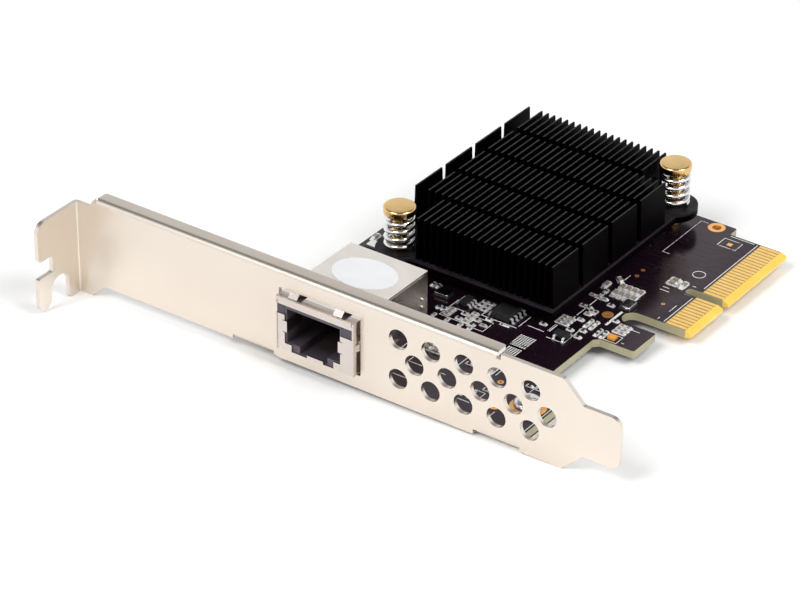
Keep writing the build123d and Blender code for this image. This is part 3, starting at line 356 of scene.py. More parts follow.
def bracket_steel():
    """Satin nickel on rolled sheet, with painted shade: a darker copy of the nickel on faces that
    face up or down, such as the long fold's top.
    """
    f = Finish("bracket_steel", Metallic=1.0)
    face = f.mottle((0.79, 0.715, 0.635), (0.745, 0.665, 0.585), 35.0)
    # Painted shade: darker nickel for faces that face up or down.
    painted_shade_level_faces = f.mottle((0.74, 0.665, 0.59), (0.67, 0.60, 0.53), 70.0)
    flat = f.group(FACING, Axis=(0, 1, 0), Limit=0.55, Softness=0.3)
    level = f.group(FACING, Axis=(0, 0, 1), Limit=0.75, Softness=0.2)
    sides = f.mix(flat, (0.79, 0.73, 0.65), face)
    f.feed("Base Color", f.mix(level, sides, painted_shade_level_faces))
    satin = f.group(GRAIN, Stretch=(0.3, 1, 1), Scale=60.0, Detail=1.0)
    f.feed("Roughness", maths(f.tree, "ADD", maths(f.tree, "MULTIPLY", satin, 0.08), 0.25))
    f.texture(2600.0, 2.0, 0.05, 0.02, (0.2, 1, 1))
    return f.material


# Y of the painted shade line on the shield's roof: up-facing faces in front of it are painted
# darker, and those behind it paler.
SHADED_ROOF_TO_Y = 0.5


def shell_steel():
    """Tinned socket shield, warm grey, with fine forming marks and painted light: a paler roof
    behind the shade line (painted highlight), a darker roof in front of it and darker other faces
    (painted shade).
    """
    f = Finish("shell_steel", Metallic=1.0)
    # Lit and shaded copies of one tin: darker faces that don't face up, a pale lit roof, and a
    # darker shaded roof in front (painted light).
    front = f.mottle((0.68, 0.61, 0.57), (0.60, 0.54, 0.505), 90.0)
    painted_lit_roof = f.mottle((0.94, 0.90, 0.83), (0.88, 0.83, 0.77), 90.0)
    painted_shaded_roof = f.mottle((0.60, 0.545, 0.50), (0.54, 0.49, 0.455), 90.0)
    inside = f.past("Y", SHADED_ROOF_TO_Y)
    level = f.group(FACING, Axis=(0, 0, 1), Limit=0.75, Softness=0.2)
    f.feed("Base Color", f.mix(level, front, f.mix(inside, painted_shaded_roof, painted_lit_roof)))
    f.gloss(0.22, 0.32, 120.0)
    f.texture(6000.0, 3.0, 0.15, 0.02, (1, 0.1, 1))
    return f.material


def bright_steel():
    """Bright plated wire and screws."""
    f = Finish("bright_steel", Metallic=1.0)
    f.feed("Base Color", f.mottle((0.86, 0.86, 0.85), (0.74, 0.74, 0.74), 300.0))
    f.gloss(0.12, 0.22, 400.0)
    f.texture(4000.0, 2.0, 0.05, 0.01)
    return f.material


def tinned_metal():
    """Tin on leads and chip ends, frosted."""
    f = Finish("tinned_metal", Metallic=0.6)
    f.feed("Base Color", f.mottle((0.95, 0.95, 0.94), (0.70, 0.70, 0.71), 1500.0))
    f.gloss(0.22, 0.42, 1200.0)
    f.texture(5000.0, 3.0, 0.2, 0.02)
    return f.material


def gold():
    """Gold plate over copper, with the faint wipe marks of a mating slot."""
    f = Finish("gold", Metallic=1.0)
    f.feed("Base Color", f.mottle((1.0, 0.71, 0.25), (1.0, 0.66, 0.21), 400.0))
    f.gloss(0.10, 0.20, 300.0)
    f.texture(7000.0, 2.0, 0.1, 0.01, (0.06, 1, 1))
    return f.material


def copper():
    """Bare copper lands and barrels with a slight orange tarnish."""
    f = Finish("copper", Metallic=0.75)
    f.feed("Base Color", f.mottle((1.0, 0.55, 0.20), (0.92, 0.44, 0.13), 500.0))
    f.gloss(0.14, 0.28, 500.0)
    f.texture(6000.0, 2.0, 0.1, 0.01)
    return f.material


def pin_brass():
    """Polished brass pins."""
    f = Finish("pin_brass", Metallic=1.0)
    f.feed("Base Color", f.mottle((0.80, 0.56, 0.25), (0.72, 0.48, 0.20), 250.0))
    f.gloss(0.12, 0.24, 350.0)
    f.texture(9000.0, 2.0, 0.08, 0.01, (0.1, 0.1, 1))
    return f.material


# Height band of the painted highlight along the base's top edge, and the specular levels of walls
# and tops.
BASE_RIM_FROM = 6.75
BASE_RIM_TO = 7.32
WALL_SHEEN = 0.02
TOP_SHEEN = 0.11


def black_anodised():
    """Black anodised extrusion: near-black walls, with painted highlights: greyer tops, a higher
    specular level on them, and a faint pale band at the base's top edge.
    """
    f = Finish("black_anodised")
    walls = f.mottle((0.0004, 0.0002, 0.0005), (0.0009, 0.0006, 0.0011), 60.0)
    # Painted highlight: a paler band where the base's top edge catches light.
    rim = f.mottle((0.032, 0.022, 0.030), (0.020, 0.014, 0.019), 200.0)
    base_highlight_band = maths(f.tree, "SUBTRACT", f.past("Z", BASE_RIM_FROM), f.past("Z", BASE_RIM_TO))
    sides = f.mix(base_highlight_band, walls, rim)
    # Painted highlight: greyer fin tops.
    painted_top_highlight = f.mottle((0.019, 0.017, 0.020), (0.005, 0.005, 0.006), 900.0, 4.0)
    level = f.group(FACING, Axis=(0, 0, 1), Limit=0.92, Softness=0.04)
    f.feed("Base Color", f.mix(level, sides, painted_top_highlight))
    sheen = maths(f.tree, "MULTIPLY", level, TOP_SHEEN)
    f.feed("Specular IOR Level", maths(f.tree, "ADD", sheen, WALL_SHEEN))
    f.gloss(0.36, 0.50, 80.0)
    f.texture(8000.0, 3.0, 0.25, 0.03, (1, 0.03, 1))
    return f.material


BARE_FROM_X = 99.3
BARE_FROM_Y = 46.2
LIP_FROM_X = 103.72
MASK_TINT = (1.0, 0.80, 0.92, 1)


def board_laminate():
    """Black solder mask, pale laminate where the board is cut, and the amber contact edge."""
    f = Finish("board_laminate", Specular_IOR_Level=0.50, Specular_Tint=MASK_TINT)
    mask = f.mottle((0.0062, 0.0016, 0.0046), (0.0105, 0.0040, 0.0085), 120.0)
    fibre = f.group(GRAIN, Stretch=(1, 1, 8), Scale=1500.0, Detail=3.0)
    laminate = f.mix(fibre, (0.27, 0.255, 0.15), (0.43, 0.405, 0.26))
    bare = f.mottle((0.34, 0.20, 0.060), (0.26, 0.145, 0.040), 600.0)
    amber = f.mottle((0.88, 0.60, 0.11), (0.82, 0.53, 0.09), 300.0)
    blocks = f.past("Y", BARE_FROM_Y)
    between = maths(f.tree, "MULTIPLY", blocks, f.past("X", BARE_FROM_X))
    lip = maths(f.tree, "MULTIPLY", blocks, f.past("X", LIP_FROM_X))
    flat = f.group(FACING, Axis=(0, 0, 1), Limit=0.955, Softness=0.02)
    body = f.mix(flat, laminate, f.mix(between, mask, bare))
    f.feed("Base Color", f.mix(lip, body, amber))
    f.gloss(0.16, 0.28, 90.0)
    f.texture(2200.0, 2.0, 0.08, 0.03, (1, 1, 0.2))
    return f.material


def solder_mask():
    """Mask drawn up over buried traces and vias."""
    f = Finish("solder_mask", Specular_IOR_Level=0.44, Specular_Tint=MASK_TINT)
    f.feed("Base Color", f.mottle((0.0075, 0.0052, 0.0070), (0.0110, 0.0080, 0.0100), 150.0))
    f.gloss(0.2, 0.32, 90.0)
    f.texture(3000.0, 2.0, 0.08, 0.02)
    return f.material


def moulded(name, first, second, low, high):
    """Fine-textured moulded plastic or resin."""
    f = Finish(name)
    f.feed("Base Color", f.mottle(first, second, 300.0))
    f.gloss(low, high, 300.0)
    f.texture(9000.0, 3.0, 0.25, 0.03)
    return f.material


LIPS_TO_Y = -1.0
CAVITY_FROM_Y = 3.0


def socket_plastic():
    """Grey moulding with painted shade: paler at the mouth's lips, darker down into the cavity."""
    f = Finish("socket_plastic")
    lips = f.mottle((0.062, 0.051, 0.066), (0.080, 0.066, 0.084), 300.0)
    inside = f.mottle((0.017, 0.012, 0.0135), (0.028, 0.020, 0.022), 300.0)
    # Painted shade: the colour darkens with depth into the cavity.
    painted_cavity_shade = node(f.tree, "ShaderNodeMapRange", {
        "Value": f.place("Y"), "From Min": LIPS_TO_Y * MM, "From Max": CAVITY_FROM_Y * MM})
    f.feed("Base Color", f.mix(painted_cavity_shade.outputs[0], lips, inside))
    f.gloss(0.35, 0.5, 300.0)
    f.texture(9000.0, 3.0, 0.25, 0.03)
    return f.material


def smoky_plastic():
    """Smoked light pipes, unlit."""
    f = Finish("smoky_plastic", Transmission_Weight=0.25, IOR=1.49)
    f.feed("Base Color", f.mottle((0.055, 0.047, 0.066), (0.085, 0.075, 0.100), 200.0))
    f.gloss(0.2, 0.35, 200.0)
    return f.material


def print_ink():
    """White board print, slightly broken at its edges."""
    f = Finish("print_ink")
    f.feed("Base Color", f.mottle((0.82, 0.82, 0.80), (0.64, 0.64, 0.63), 2500.0))
    f.gloss(0.5, 0.7, 900.0)
    return f.material


FINISHES = {
    "bracket_steel": bracket_steel,
    "shell_steel": shell_steel,
    "bright_steel": bright_steel,
    "board_laminate": board_laminate,
    "gold": gold,
    "copper": copper,
    "socket_plastic": socket_plastic,
    "smoky_plastic": smoky_plastic,
    "label_film": lambda: moulded("label_film", (0.72, 0.725, 0.74), (0.68, 0.685, 0.70),
                                  0.35, 0.5),
    "black_anodised": black_anodised,
    "pin_brass": pin_brass,
    "chip_resin": lambda: moulded("chip_resin", (0.008, 0.0075, 0.0085), (0.016, 0.015, 0.017),
                                  0.4, 0.6),
    "pad_rubber": lambda: moulded("pad_rubber", (0.42, 0.44, 0.50), (0.50, 0.52, 0.57), 0.6, 0.8),
    "tinned_metal": tinned_metal,
    "ceramic_tan": lambda: moulded("ceramic_tan", (0.20, 0.165, 0.13), (0.31, 0.26, 0.21),
                                   0.35, 0.55),
    "resistor_black": lambda: moulded("resistor_black", (0.018, 0.018, 0.02),
                                      (0.035, 0.035, 0.038), 0.25, 0.4),
    "coil_grey": lambda: moulded("coil_grey", (0.11, 0.11, 0.115), (0.17, 0.17, 0.175), 0.5, 0.7),
    "tantalum_resin": lambda: moulded("tantalum_resin", (0.045, 0.04, 0.035),
                                      (0.07, 0.062, 0.055), 0.4, 0.55),
    "orange_body": lambda: moulded("orange_body", (0.80, 0.33, 0.05), (0.70, 0.27, 0.04),
                                   0.25, 0.4),
    "print_ink": print_ink,
    "solder_mask": solder_mask,
}
MATERIAL = {name: make() for name, make in FINISHES.items()}
SLOT_OF = {s["node"]: s["material_slot"] for s in frame["record"]["subparts"]}


# Pieces from the frame

SOFT_ANGLE = math.radians(32)
FLAT_ANGLE = math.radians(0.6)
SAME_PLACE = 1e-7


def new_piece(name, mesh, slot):
    """Links a finished mesh at the origin and gives it a material where it has none."""
    piece = bpy.data.objects.new(name, mesh)
    bpy.context.scene.collection.objects.link(piece)
    if not mesh.materials:
        mesh.materials.append(MATERIAL[slot])
    return piece


def settle(piece, replaced=()):
    """Gives a piece its body and hides the nodes that it stands in for."""
    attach(piece, BODY)
    if replaced:
        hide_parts(*replaced)
    return piece


def smooth_by_angle(mesh):
    """Smooth shading that stays sharp where faces meet at more than the soft angle."""
    mesh.shade_smooth()
    mesh.set_sharp_from_angle(angle=SOFT_ANGLE)


def merged_copy(name, flatten):
    """Copy of a node's mesh with its doubles merged and, if asked, its flat areas joined."""
    mesh = frame["nodes"][name].data.copy()
    mesh.name = name + "_skin"
    work = bmesh.new()
    work.from_mesh(mesh)
    bmesh.ops.remove_doubles(work, verts=work.verts, dist=SAME_PLACE)
    if flatten:
        bmesh.ops.dissolve_limit(work, angle_limit=FLAT_ANGLE, verts=work.verts,
                                 edges=work.edges)
    work.to_mesh(mesh)
    work.free()
    mesh.materials.clear()
    for attribute in ("custom_normal", "sharp_edge"):
        if attribute in mesh.attributes:
            mesh.attributes.remove(mesh.attributes[attribute])
    return mesh


FLANGE_TRIM = 1.6
FLANGE_END_FROM = mm(94.0, -1.0, 16.4)
FLANGE_END_TO = mm(96.6, 4.0, 19.0)
PIPE_LIP_TO = mm(47.9, -0.9, 20.0)
PIPE_LIP_X = 47.23
BARREL_R_MAX = 1.1
BARREL_MARGIN = 1.1
BLOCK_CORNERS = 8
WALL_SLOPE = 0.5


def trimmed_flange(mesh):
    """The long fold stops a little earlier, as on the photographed sheet."""
    for vert in mesh.vertices:
        if all(FLANGE_END_FROM[k] < vert.co[k] < FLANGE_END_TO[k] for k in range(3)):
            vert.co.x -= FLANGE_TRIM * MM


def lipped_pipe(mesh):
    """The left light pipe's mouth reaches out to the shield's cut-away corner."""
    for vert in mesh.vertices:
        if vert.co.x < PIPE_LIP_TO.x and vert.co.y < PIPE_LIP_TO.y:
            vert.co.x = PIPE_LIP_X * MM


def plated_barrels(mesh):
    """Copper down the walls of the ringed holes."""
    mesh.materials.append(MATERIAL["board_laminate"])
    mesh.materials.append(MATERIAL["copper"])
    holes = []
    for island in islands("copper_lands"):
        middle = island_middle(island)
        radius = min((v.xy - middle.xy).length for v in island)
        if radius < BARREL_R_MAX * MM and len(island) > BLOCK_CORNERS:
            holes.append((middle, radius * BARREL_MARGIN))
    for face in mesh.polygons:
        if abs(face.normal.z) < WALL_SLOPE:
            inside = any((face.center.xy - middle.xy).length < radius for middle, radius in holes)
            face.material_index = int(inside)


FITTED = {"slot_bracket": trimmed_flange, "light_pipes": lipped_pipe,
          "circuit_board": plated_barrels}


def softened(name, width, flatten):
    """Replaces a node by its own shape, with sharp edges rounded where a width in mm is given."""
    slot = SLOT_OF[name]
    mesh = merged_copy(name, flatten)
    if name in FITTED:
        FITTED[name](mesh)
    smooth_by_angle(mesh)
    piece = new_piece(name + "_finished", mesh, slot)
    if not width:
        return settle(piece, [name])
    bevel = piece.modifiers.new("Edges", "BEVEL")
    bevel.width = width * MM
    bevel.segments = 2
    bevel.limit_method = "ANGLE"
    bevel.angle_limit = SOFT_ANGLE
    bevel.use_clamp_overlap = False
    bevel.harden_normals = True
    return settle(piece, [name])


def dressed(name):
    """Keeps a node's own mesh and gives it its material."""
    cad = frame["nodes"][name]
    cad.data.materials.clear()
    cad.data.materials.append(MATERIAL[SLOT_OF[name]])


def grown(name, carrier_data, tree, finish, values, replaced=()):
    """Runs a Geometry Nodes tree on a carrier and keeps the result as a plain mesh piece."""
    carrier = bpy.data.objects.new(name + "_carrier", carrier_data)
    bpy.context.scene.collection.objects.link(carrier)
    modifier = carrier.modifiers.new("Make", "NODES")
    modifier.node_group = tree
    wanted = dict(values, Material=MATERIAL[finish])
    for item in tree.interface.items_tree:
        if item.item_type == "SOCKET" and item.in_out == "INPUT" and item.name in wanted:
            modifier[item.identifier] = wanted[item.name]
    graph = bpy.context.evaluated_depsgraph_get()
    mesh = bpy.data.meshes.new_from_object(carrier.evaluated_get(graph), depsgraph=graph)
    bpy.data.objects.remove(carrier)
    mesh.name = name
    smooth_by_angle(mesh)
    return settle(new_piece(name, mesh, finish), replaced)


def point_mesh(name, points, **vectors):
    """Carrier of loose points, with vector attributes read by a tree."""
    mesh = bpy.data.meshes.new(name)
    mesh.from_pydata([tuple(p) for p in points], [], [])
    for label, values in vectors.items():
        attribute = mesh.attributes.new(label, "FLOAT_VECTOR", "POINT")
        for item, value in zip(attribute.data, values):
            item.vector = value
    return mesh


def line_curve(name, lines, height):
    """Carrier curve with one straight-run spline for each list of X, Y points in mm."""
    curve = bpy.data.curves.new(name, "CURVE")
    curve.dimensions = "3D"
    for points in lines:
        spline = curve.splines.new("POLY")
        spline.points.add(len(points) - 1)
        for item, (x, y) in zip(spline.points, points):
            item.co = (x * MM, y * MM, height, 1)
    return curve


def islands(name):
    """Vertex places of each separate solid of a node."""
    work = bmesh.new()
    work.from_mesh(frame["nodes"][name].data)
    bmesh.ops.remove_doubles(work, verts=work.verts, dist=SAME_PLACE)
    left = set(work.verts)
    found = []
    while left:
        queue = [left.pop()]
        island = []
        while queue:
            vert = queue.pop()
            island.append(vert.co.copy())
            for edge in vert.link_edges:
                other = edge.other_vert(vert)
                if other in left:
                    left.remove(other)
                    queue.append(other)
        found.append(island)
    work.free()
    return sorted(found, key=lambda island: tuple(round(c, 6) for c in island_middle(island)))


def island_middle(island):
    """Centre of the box round one solid."""
    low = Vector([min(v[k] for v in island) for k in range(3)])
    high = Vector([max(v[k] for v in island) for k in range(3)])
    return (low + high) / 2


SOFTENED = {
    "slot_bracket": (0, False), "socket_shell": (0, False), "heat_sink": (0.02, True),
    "board_screws": (0.05, True), "memory_chip": (0.05, True), "driver_chip": (0.04, True),
    "switch_chip": (0.04, True), "power_coils": (0.12, True), "bulk_capacitors": (0.1, True),
    "crystal_lids": (0.08, True), "chip_terminals": (0.04, True), "circuit_board": (0.03, True),
    "socket_housing": (0.05, False), "light_pipes": (0.05, True), "orange_chip": (0.06, True),
}
REMADE = ("push_pins", "pin_springs")
for name in sorted(frame["nodes"]):
    if name in SOFTENED:
        softened(name, *SOFTENED[name])
    elif name not in REMADE:
        dressed(name)


# Push pins and their springs

PIN_HEAD_R = 3.1
PIN_HEAD_THICK = 1.5
PIN_RIM_R = 0.42
PIN_RIM_STEPS = 7
UNDER_RIM_R = 0.21
UNDER_RIM_STEPS = 3
PIN_SHANK_R = 1.4
BARB_R = 1.95
BARB_HIGH = 0.7
BARB_SHOULDER = 1.39
BARB_SLIT = 0.6
SLIT_TOP = 2.6
PIN_TURN = 30
PIN_STEPS = 72
TIP_TAPER = 0.8
SPRING_WIRE_R = 0.46
SPRING_R = 2.55
SPRING_TURNS = 4.75
PIN_PLACES = (PIN_LOW + mm(PIN_HEAD_R, PIN_HEAD_R, 0), PIN_HIGH - mm(PIN_HEAD_R, PIN_HEAD_R, 0))


def turned_mesh(name, profile, steps, places):
    """Solid of revolution about Z from (radius, height) points in mm, one at each place."""
    mesh = bpy.data.meshes.new(name)
    verts, faces = [], []
    for place in places:
        rings = []
        for radius, height in profile:
            count = steps if radius > 0 else 1
            rings.append(range(len(verts), len(verts) + count))
            for k in range(count):
                angle = 2 * math.pi * k / count
                verts.append((place.x + radius * MM * math.cos(angle),
                              place.y + radius * MM * math.sin(angle), height * MM))
        for low, high in zip(rings, rings[1:]):
            for k in range(steps):
                after = (k + 1) % steps
                if len(low) == 1:
                    faces.append((low[0], high[after], high[k]))
                elif len(high) == 1:
                    faces.append((low[k], low[after], high[0]))
                else:
                    faces.append((low[k], low[after], high[after], high[k]))
    mesh.from_pydata(verts, [], faces)
    return mesh


def rounded_rim(radius, height, rim, steps, outward=1):
    """Quarter-round from a side to a top face (or from an underside to a side)."""
    points = []
    for k in range(steps + 1):
        angle = math.pi / 2 * k / steps
        if outward < 0:
            angle = angle - math.pi / 2
        points.append((radius - rim + rim * math.cos(angle),
                       height - outward * rim + rim * math.sin(angle)))
    return points


def push_pins():
    """Turned brass pins with a rounded flat head and a slit barb under the board."""
    tip = PIN_LOW.z / MM
    top = PIN_HIGH.z / MM
    under = top - PIN_HEAD_THICK
    profile = [(0, tip), (PIN_SHANK_R * TIP_TAPER, tip), (BARB_R, BARB_SHOULDER - BARB_HIGH),
               (BARB_R, BARB_SHOULDER), (PIN_SHANK_R, BARB_SHOULDER), (PIN_SHANK_R, under)]
    profile += rounded_rim(PIN_HEAD_R, under, UNDER_RIM_R, UNDER_RIM_STEPS, -1)
    profile += rounded_rim(PIN_HEAD_R, top, PIN_RIM_R, PIN_RIM_STEPS)
    profile.append((0, top))
    mesh = turned_mesh("push_pins_turned", profile, PIN_STEPS, PIN_PLACES)
    blank = bpy.data.objects.new("pin_blank", mesh)
    bpy.context.scene.collection.objects.link(blank)
    cutters = []
    for place in PIN_PLACES:
        work = bmesh.new()
        bmesh.ops.create_cube(work, size=1.0)
        shape = bpy.data.meshes.new("slit")
        work.to_mesh(shape)
        work.free()
        size = Matrix.Diagonal((BARB_SLIT * MM, 3 * BARB_R * MM, 2 * (SLIT_TOP - tip) * MM, 1))
        lift = Matrix.Translation((place.x, place.y, tip * MM))
        shape.transform(lift @ Matrix.Rotation(math.radians(PIN_TURN), 4, "Z") @ size)
        cutter = bpy.data.objects.new("slit", shape)
        bpy.context.scene.collection.objects.link(cutter)
        cut = blank.modifiers.new("Slit", "BOOLEAN")
        cut.object = cutter
        cutters.append(cutter)
    graph = bpy.context.evaluated_depsgraph_get()
    finished = bpy.data.meshes.new_from_object(blank.evaluated_get(graph), depsgraph=graph)
    for helper in cutters + [blank]:
        bpy.data.objects.remove(helper)
    finished.materials.clear()
    smooth_by_angle(finished)
    settle(new_piece("turned_pins", finished, "pin_brass"), ["push_pins"])


def springs():
    """Coil springs round the pins, between the heat sink's ears and the pin heads."""
    carrier = point_mesh("spring_seats", [(p.x, p.y, 0) for p in PIN_PLACES])
    grown("coil_springs", carrier, SPRING_TREE, "bright_steel", {
        "Radius": SPRING_R * MM, "Wire": SPRING_WIRE_R * MM, "Turns": SPRING_TURNS,
        "Bottom": SPRING_LOW.z, "Top": SPRING_HIGH.z}, ["pin_springs"])


push_pins()
springs()


# Solder, board print, traces and vias

PRINT_THICK = 0.012
FINE_PRINT = 0.17
BROAD_PRINT = 0.5
OUTLINE_PRINT = 0.16
PRINT_DOT_R = 0.19
PRINT_DOT_CREST = 0.95
PRINT_DOT_SIDES = 8
RING_STEPS = 28
OUTLINE_SEED = 7
OUTLINE_FROM_Y = 20.0
OUTLINE_ALONG = 0.36
OUTLINE_ACROSS = 0.17
OUTLINED_SHARE = 0.92
CHIP_END_WIDTH = 0.5
CHIP_END_HIGH = 0.4
MOUND_LENGTH = 0.84
MOUND_WIDTH = 0.62
MOUND_HIGH = 0.30
MOUND_CREST = 0.6


def box_line(x0, y0, x1, y1):
    """Closed rectangle as one run of points."""
    return [(x0, y0), (x1, y0), (x1, y1), (x0, y1), (x0, y0)]


def ring_line(x, y, radius):
    """Closed circle as one run of points."""
    return [(x + radius * math.cos(2 * math.pi * k / RING_STEPS),
             y + radius * math.sin(2 * math.pi * k / RING_STEPS)) for k in range(RING_STEPS + 1)]


FINE_LINES = [
    [(64.4, 31.2), (64.4, 25.1), (69.3, 25.1)], [(65.0, 28.5), (68.5, 28.5)],
    box_line(70.6, 24.7, 74.2, 28.2), [(70.8, 29.3), (70.8, 34.0)], [(70.7, 29.3), (78.5, 29.3)],
    [(78.5, 30.0), (78.5, 34.0)], [(79.5, 31.3), (83.2, 31.2)],
    [(84.5, 30.0), (88.2, 30.0), (88.2, 36.4)], [(84.9, 37.0), (84.9, 46.2)],
    box_line(93.1, 35.4, 95.9, 37.8), [(85.35, 54.9), (85.35, 57.0)],
    [(87.0, 68.0), (85.5, 68.0), (85.5, 82.0), (87.0, 82.0)],
    [(98.9, 46.9), (98.9, 57.0)], [(98.9, 61.0), (98.9, 80.3)],
    box_line(92.5, 76.2, 96.4, 79.1), [(96.6, 36.2), (97.2, 36.2)],
    [(95.9, 41.0), (97.5, 41.0)], [(97.5, 47.0), (97.5, 47.8)], [(97.9, 50.5), (97.9, 53.0)],
    [(96.8, 57.2), (98.3, 57.2)], [(96.7, 60.6), (97.4, 60.6)], [(93.0, 80.3), (98.2, 80.3)],
    ring_line(95.5, 64.8, 1.2), [(92.3, 56.2), (94.3, 56.2)], [(92.3, 57.3), (93.6, 57.3)],
    [(65.4, 11.6), (65.4, 13.6)], [(77.0, 13.0), (77.0, 16.0)], [(84.3, 14.0), (84.3, 16.0)],
    [(92.3, 15.4), (92.3, 12.9), (93.6, 12.9)], [(69.0, 10.5), (69.0, 8.9), (72.0, 8.9)],
    [(84.0, 8.1), (86.2, 8.1), (86.2, 6.3)], [(90.8, 2.2), (90.8, 4.2)],
    [(69.0, 4.0), (72.0, 4.0)], [(83.0, 4.0), (85.5, 4.0)], [(76.0, 9.0), (77.0, 9.0)],
    [(98.4, 2.0), (98.4, 13.3)],
]
BROAD_LINES = [
    [(75.2, 28.75), (77.3, 28.75)], [(83.75, 31.9), (83.75, 34.6)], [(91.0, 39.7), (91.0, 45.3)],
]
DOT_GRIDS = ((80.5, 24.4, 7, 8, 0.5), (80.9, 20.4, 6, 7, 0.5))


def footprint(island):
    """Middle of a small box standing on the board, turn of its short side, and both sides."""
    middle = island_middle(island)
    foot = [v for v in island if v.z < middle.z]
    first = min(foot, key=lambda v: (round(v.x, 6), round(v.y, 6)))
    others = [v for v in foot if (v - first).length > 0.01 * MM]
    near = min(others, key=lambda v: (v - first).length)
    far = max(foot, key=lambda v: (v - first).length)
    short = (near - first).length
    long = math.sqrt(max((far - first).length ** 2 - short ** 2, 0))
    aim = near - first
    return middle, math.atan2(aim.y, aim.x), short, long


def solder_mounds():
    """One mound under each chip end, lined up with it."""
    places, turns, sizes = [], [], []
    for island in islands("chip_terminals"):
        middle, turn, short, long = footprint(island)
        height = 2 * (middle.z - BOARD_TOP)
        places.append((middle.x, middle.y, BOARD_TOP))
        turns.append((0, 0, turn))
        wide = long / (CHIP_END_WIDTH * MM)
        sizes.append((wide, wide, height / (CHIP_END_HIGH * MM)))
    carrier = point_mesh("chip_feet", places, turn=turns, size=sizes)
    grown("solder_mounds", carrier, SOLDER_TREE, "tinned_metal", {
        "Foot length": MOUND_LENGTH * MM, "Foot width": MOUND_WIDTH * MM,
        "Crest": MOUND_CREST, "Height": MOUND_HIGH * MM})


def chip_outlines():
    """Print boxes round most of the chip parts, as lists of X, Y points in mm."""
    draw = random.Random(OUTLINE_SEED)
    lines = []
    for name in ("small_capacitors", "small_resistors", "large_capacitors"):
        for island in islands(name):
            middle, turn, short, long = footprint(island)
            drawn = draw.random() < OUTLINED_SHARE
            if middle.y < OUTLINE_FROM_Y * MM or not drawn:
                continue
            half_long = long / 2 / MM + OUTLINE_ALONG
            half_short = short / 2 / MM + OUTLINE_ACROSS
            c, d = math.cos(turn), math.sin(turn)
            corners = box_line(-half_short, -half_long, half_short, half_long)
            lines.append([(middle.x / MM + x * c - y * d, middle.y / MM + x * d + y * c)
                          for x, y in corners])
    return lines


def board_print():
    """White lines, part outlines and dots on the component side."""
    height = BOARD_TOP + PRINT_THICK / 2 * MM
    for name, lines, width in (("print_fine", FINE_LINES, FINE_PRINT),
                               ("print_outlines", chip_outlines(), OUTLINE_PRINT),
                               ("print_broad", BROAD_LINES, BROAD_PRINT)):
        grown(name, line_curve(name, lines, height), LINE_TREE, "print_ink", {
            "Width": width * MM, "Thickness": PRINT_THICK * MM})
    dots = [((x + i * step) * MM, (y + j * step) * MM, BOARD_TOP)
            for x, y, columns, rows, step in DOT_GRIDS for i in range(columns)
            for j in range(rows)]
    grown("print_dots", point_mesh("print_dots", dots), DOT_TREE, "print_ink", {
        "Radius": PRINT_DOT_R * MM, "Crest": PRINT_DOT_CREST, "Height": PRINT_THICK * MM,
        "Sides": PRINT_DOT_SIDES})


TRACE_THICK = 0.02
TRACE_WIDTH = 0.2
BUS_START_X = 98.6
BUS_FRONT_END_X = 80.0
BUS_BACK_END_X = 72.0
BUS_BEND = 2.0
BUS_BEND_STEP = 0.4
BUS_MIDDLE_Y = 61.5
BUS_SQUEEZE = 0.8
PAD_SHIFT = 0.16
BUS_PADS = tuple(range(47, 58)) + tuple(range(60, 81))
RUN_LOW = (38.5, 2.0)
RUN_HIGH = (91.2, 82.6)
RUN_LENGTH = (2.0, 7.0)
RUN_STEP = (0.6, 2.0)
RUN_REST = (1.0, 4.0)
FRONT_RUNS = {"count": 90, "seed": 11, "low": (40, 16), "high": (91, 82)}
BACK_RUNS = {"count": 240, "seed": 12, "low": (39, 3), "high": (91, 82)}
VIA_COUNT = 260
VIA_SEED = 21
VIA_LOW = (39, 15)
VIA_HIGH = (91, 82)
VIA_R = 0.26
VIA_THICK = 0.025
JOINT_HIGH = 0.6
JOINT_TIP_R = 0.26
JOINT_SPREAD = 2.5
JOINT_SIDES = 16
TAIL_END = 0.3
LEG_PLACES = ((47.35, 10.2), (64.25, 10.2))


def bus_lines(end_x, shift):
    """Runs from every second edge contact towards the controller, each with one slanted step."""
    lines = []
    for index, pad in enumerate(BUS_PADS):
        if index % 2 != shift:
            continue
        y0 = pad + PAD_SHIFT
        y1 = BUS_MIDDLE_Y + (y0 - BUS_MIDDLE_Y) * BUS_SQUEEZE
        bend = BUS_START_X - BUS_BEND - index % 4 * BUS_BEND_STEP
        lines.append([(BUS_START_X, y0), (bend, y0), (bend - abs(y1 - y0), y1), (end_x, y1)])
    return lines


def stepped_runs(count, seed, low, high):
    """Short traces at right and half-right angles, spread over the board."""
    draw = random.Random(seed)
    lines = []
    for _ in range(count):
        x, y = draw.uniform(low[0], high[0]), draw.uniform(low[1], high[1])
        run = draw.choice((-1, 1)) * draw.uniform(*RUN_LENGTH)
        step = draw.choice((-1, 1)) * draw.uniform(*RUN_STEP)
        rest = math.copysign(draw.uniform(*RUN_REST), run)
        slanted = x + run + math.copysign(abs(step), run)
        points = [(x, y), (x + run, y), (slanted, y + step), (slanted + rest, y + step)]
        if draw.random() < 0.5:
            points = [(x + (q - y), y + (p - x)) for p, q in points]
        if all(RUN_LOW[0] < p < RUN_HIGH[0] and RUN_LOW[1] < q < RUN_HIGH[1] for p, q in points):
            lines.append(points)
    return lines


def traces():
    """Traces under the mask: a bus from the edge contacts and short runs, on each side."""
    lift = TRACE_THICK / 4 * MM
    front = bus_lines(BUS_FRONT_END_X, 0) + stepped_runs(**FRONT_RUNS)
    back = bus_lines(BUS_BACK_END_X, 1) + stepped_runs(**BACK_RUNS)
    for name, lines, height in (("traces_front", front, BOARD_TOP + lift),
                                ("traces_back", back, BOARD_BOTTOM - lift)):
        grown(name, line_curve(name, lines, height), LINE_TREE, "solder_mask", {
            "Width": TRACE_WIDTH * MM, "Thickness": TRACE_THICK * MM})


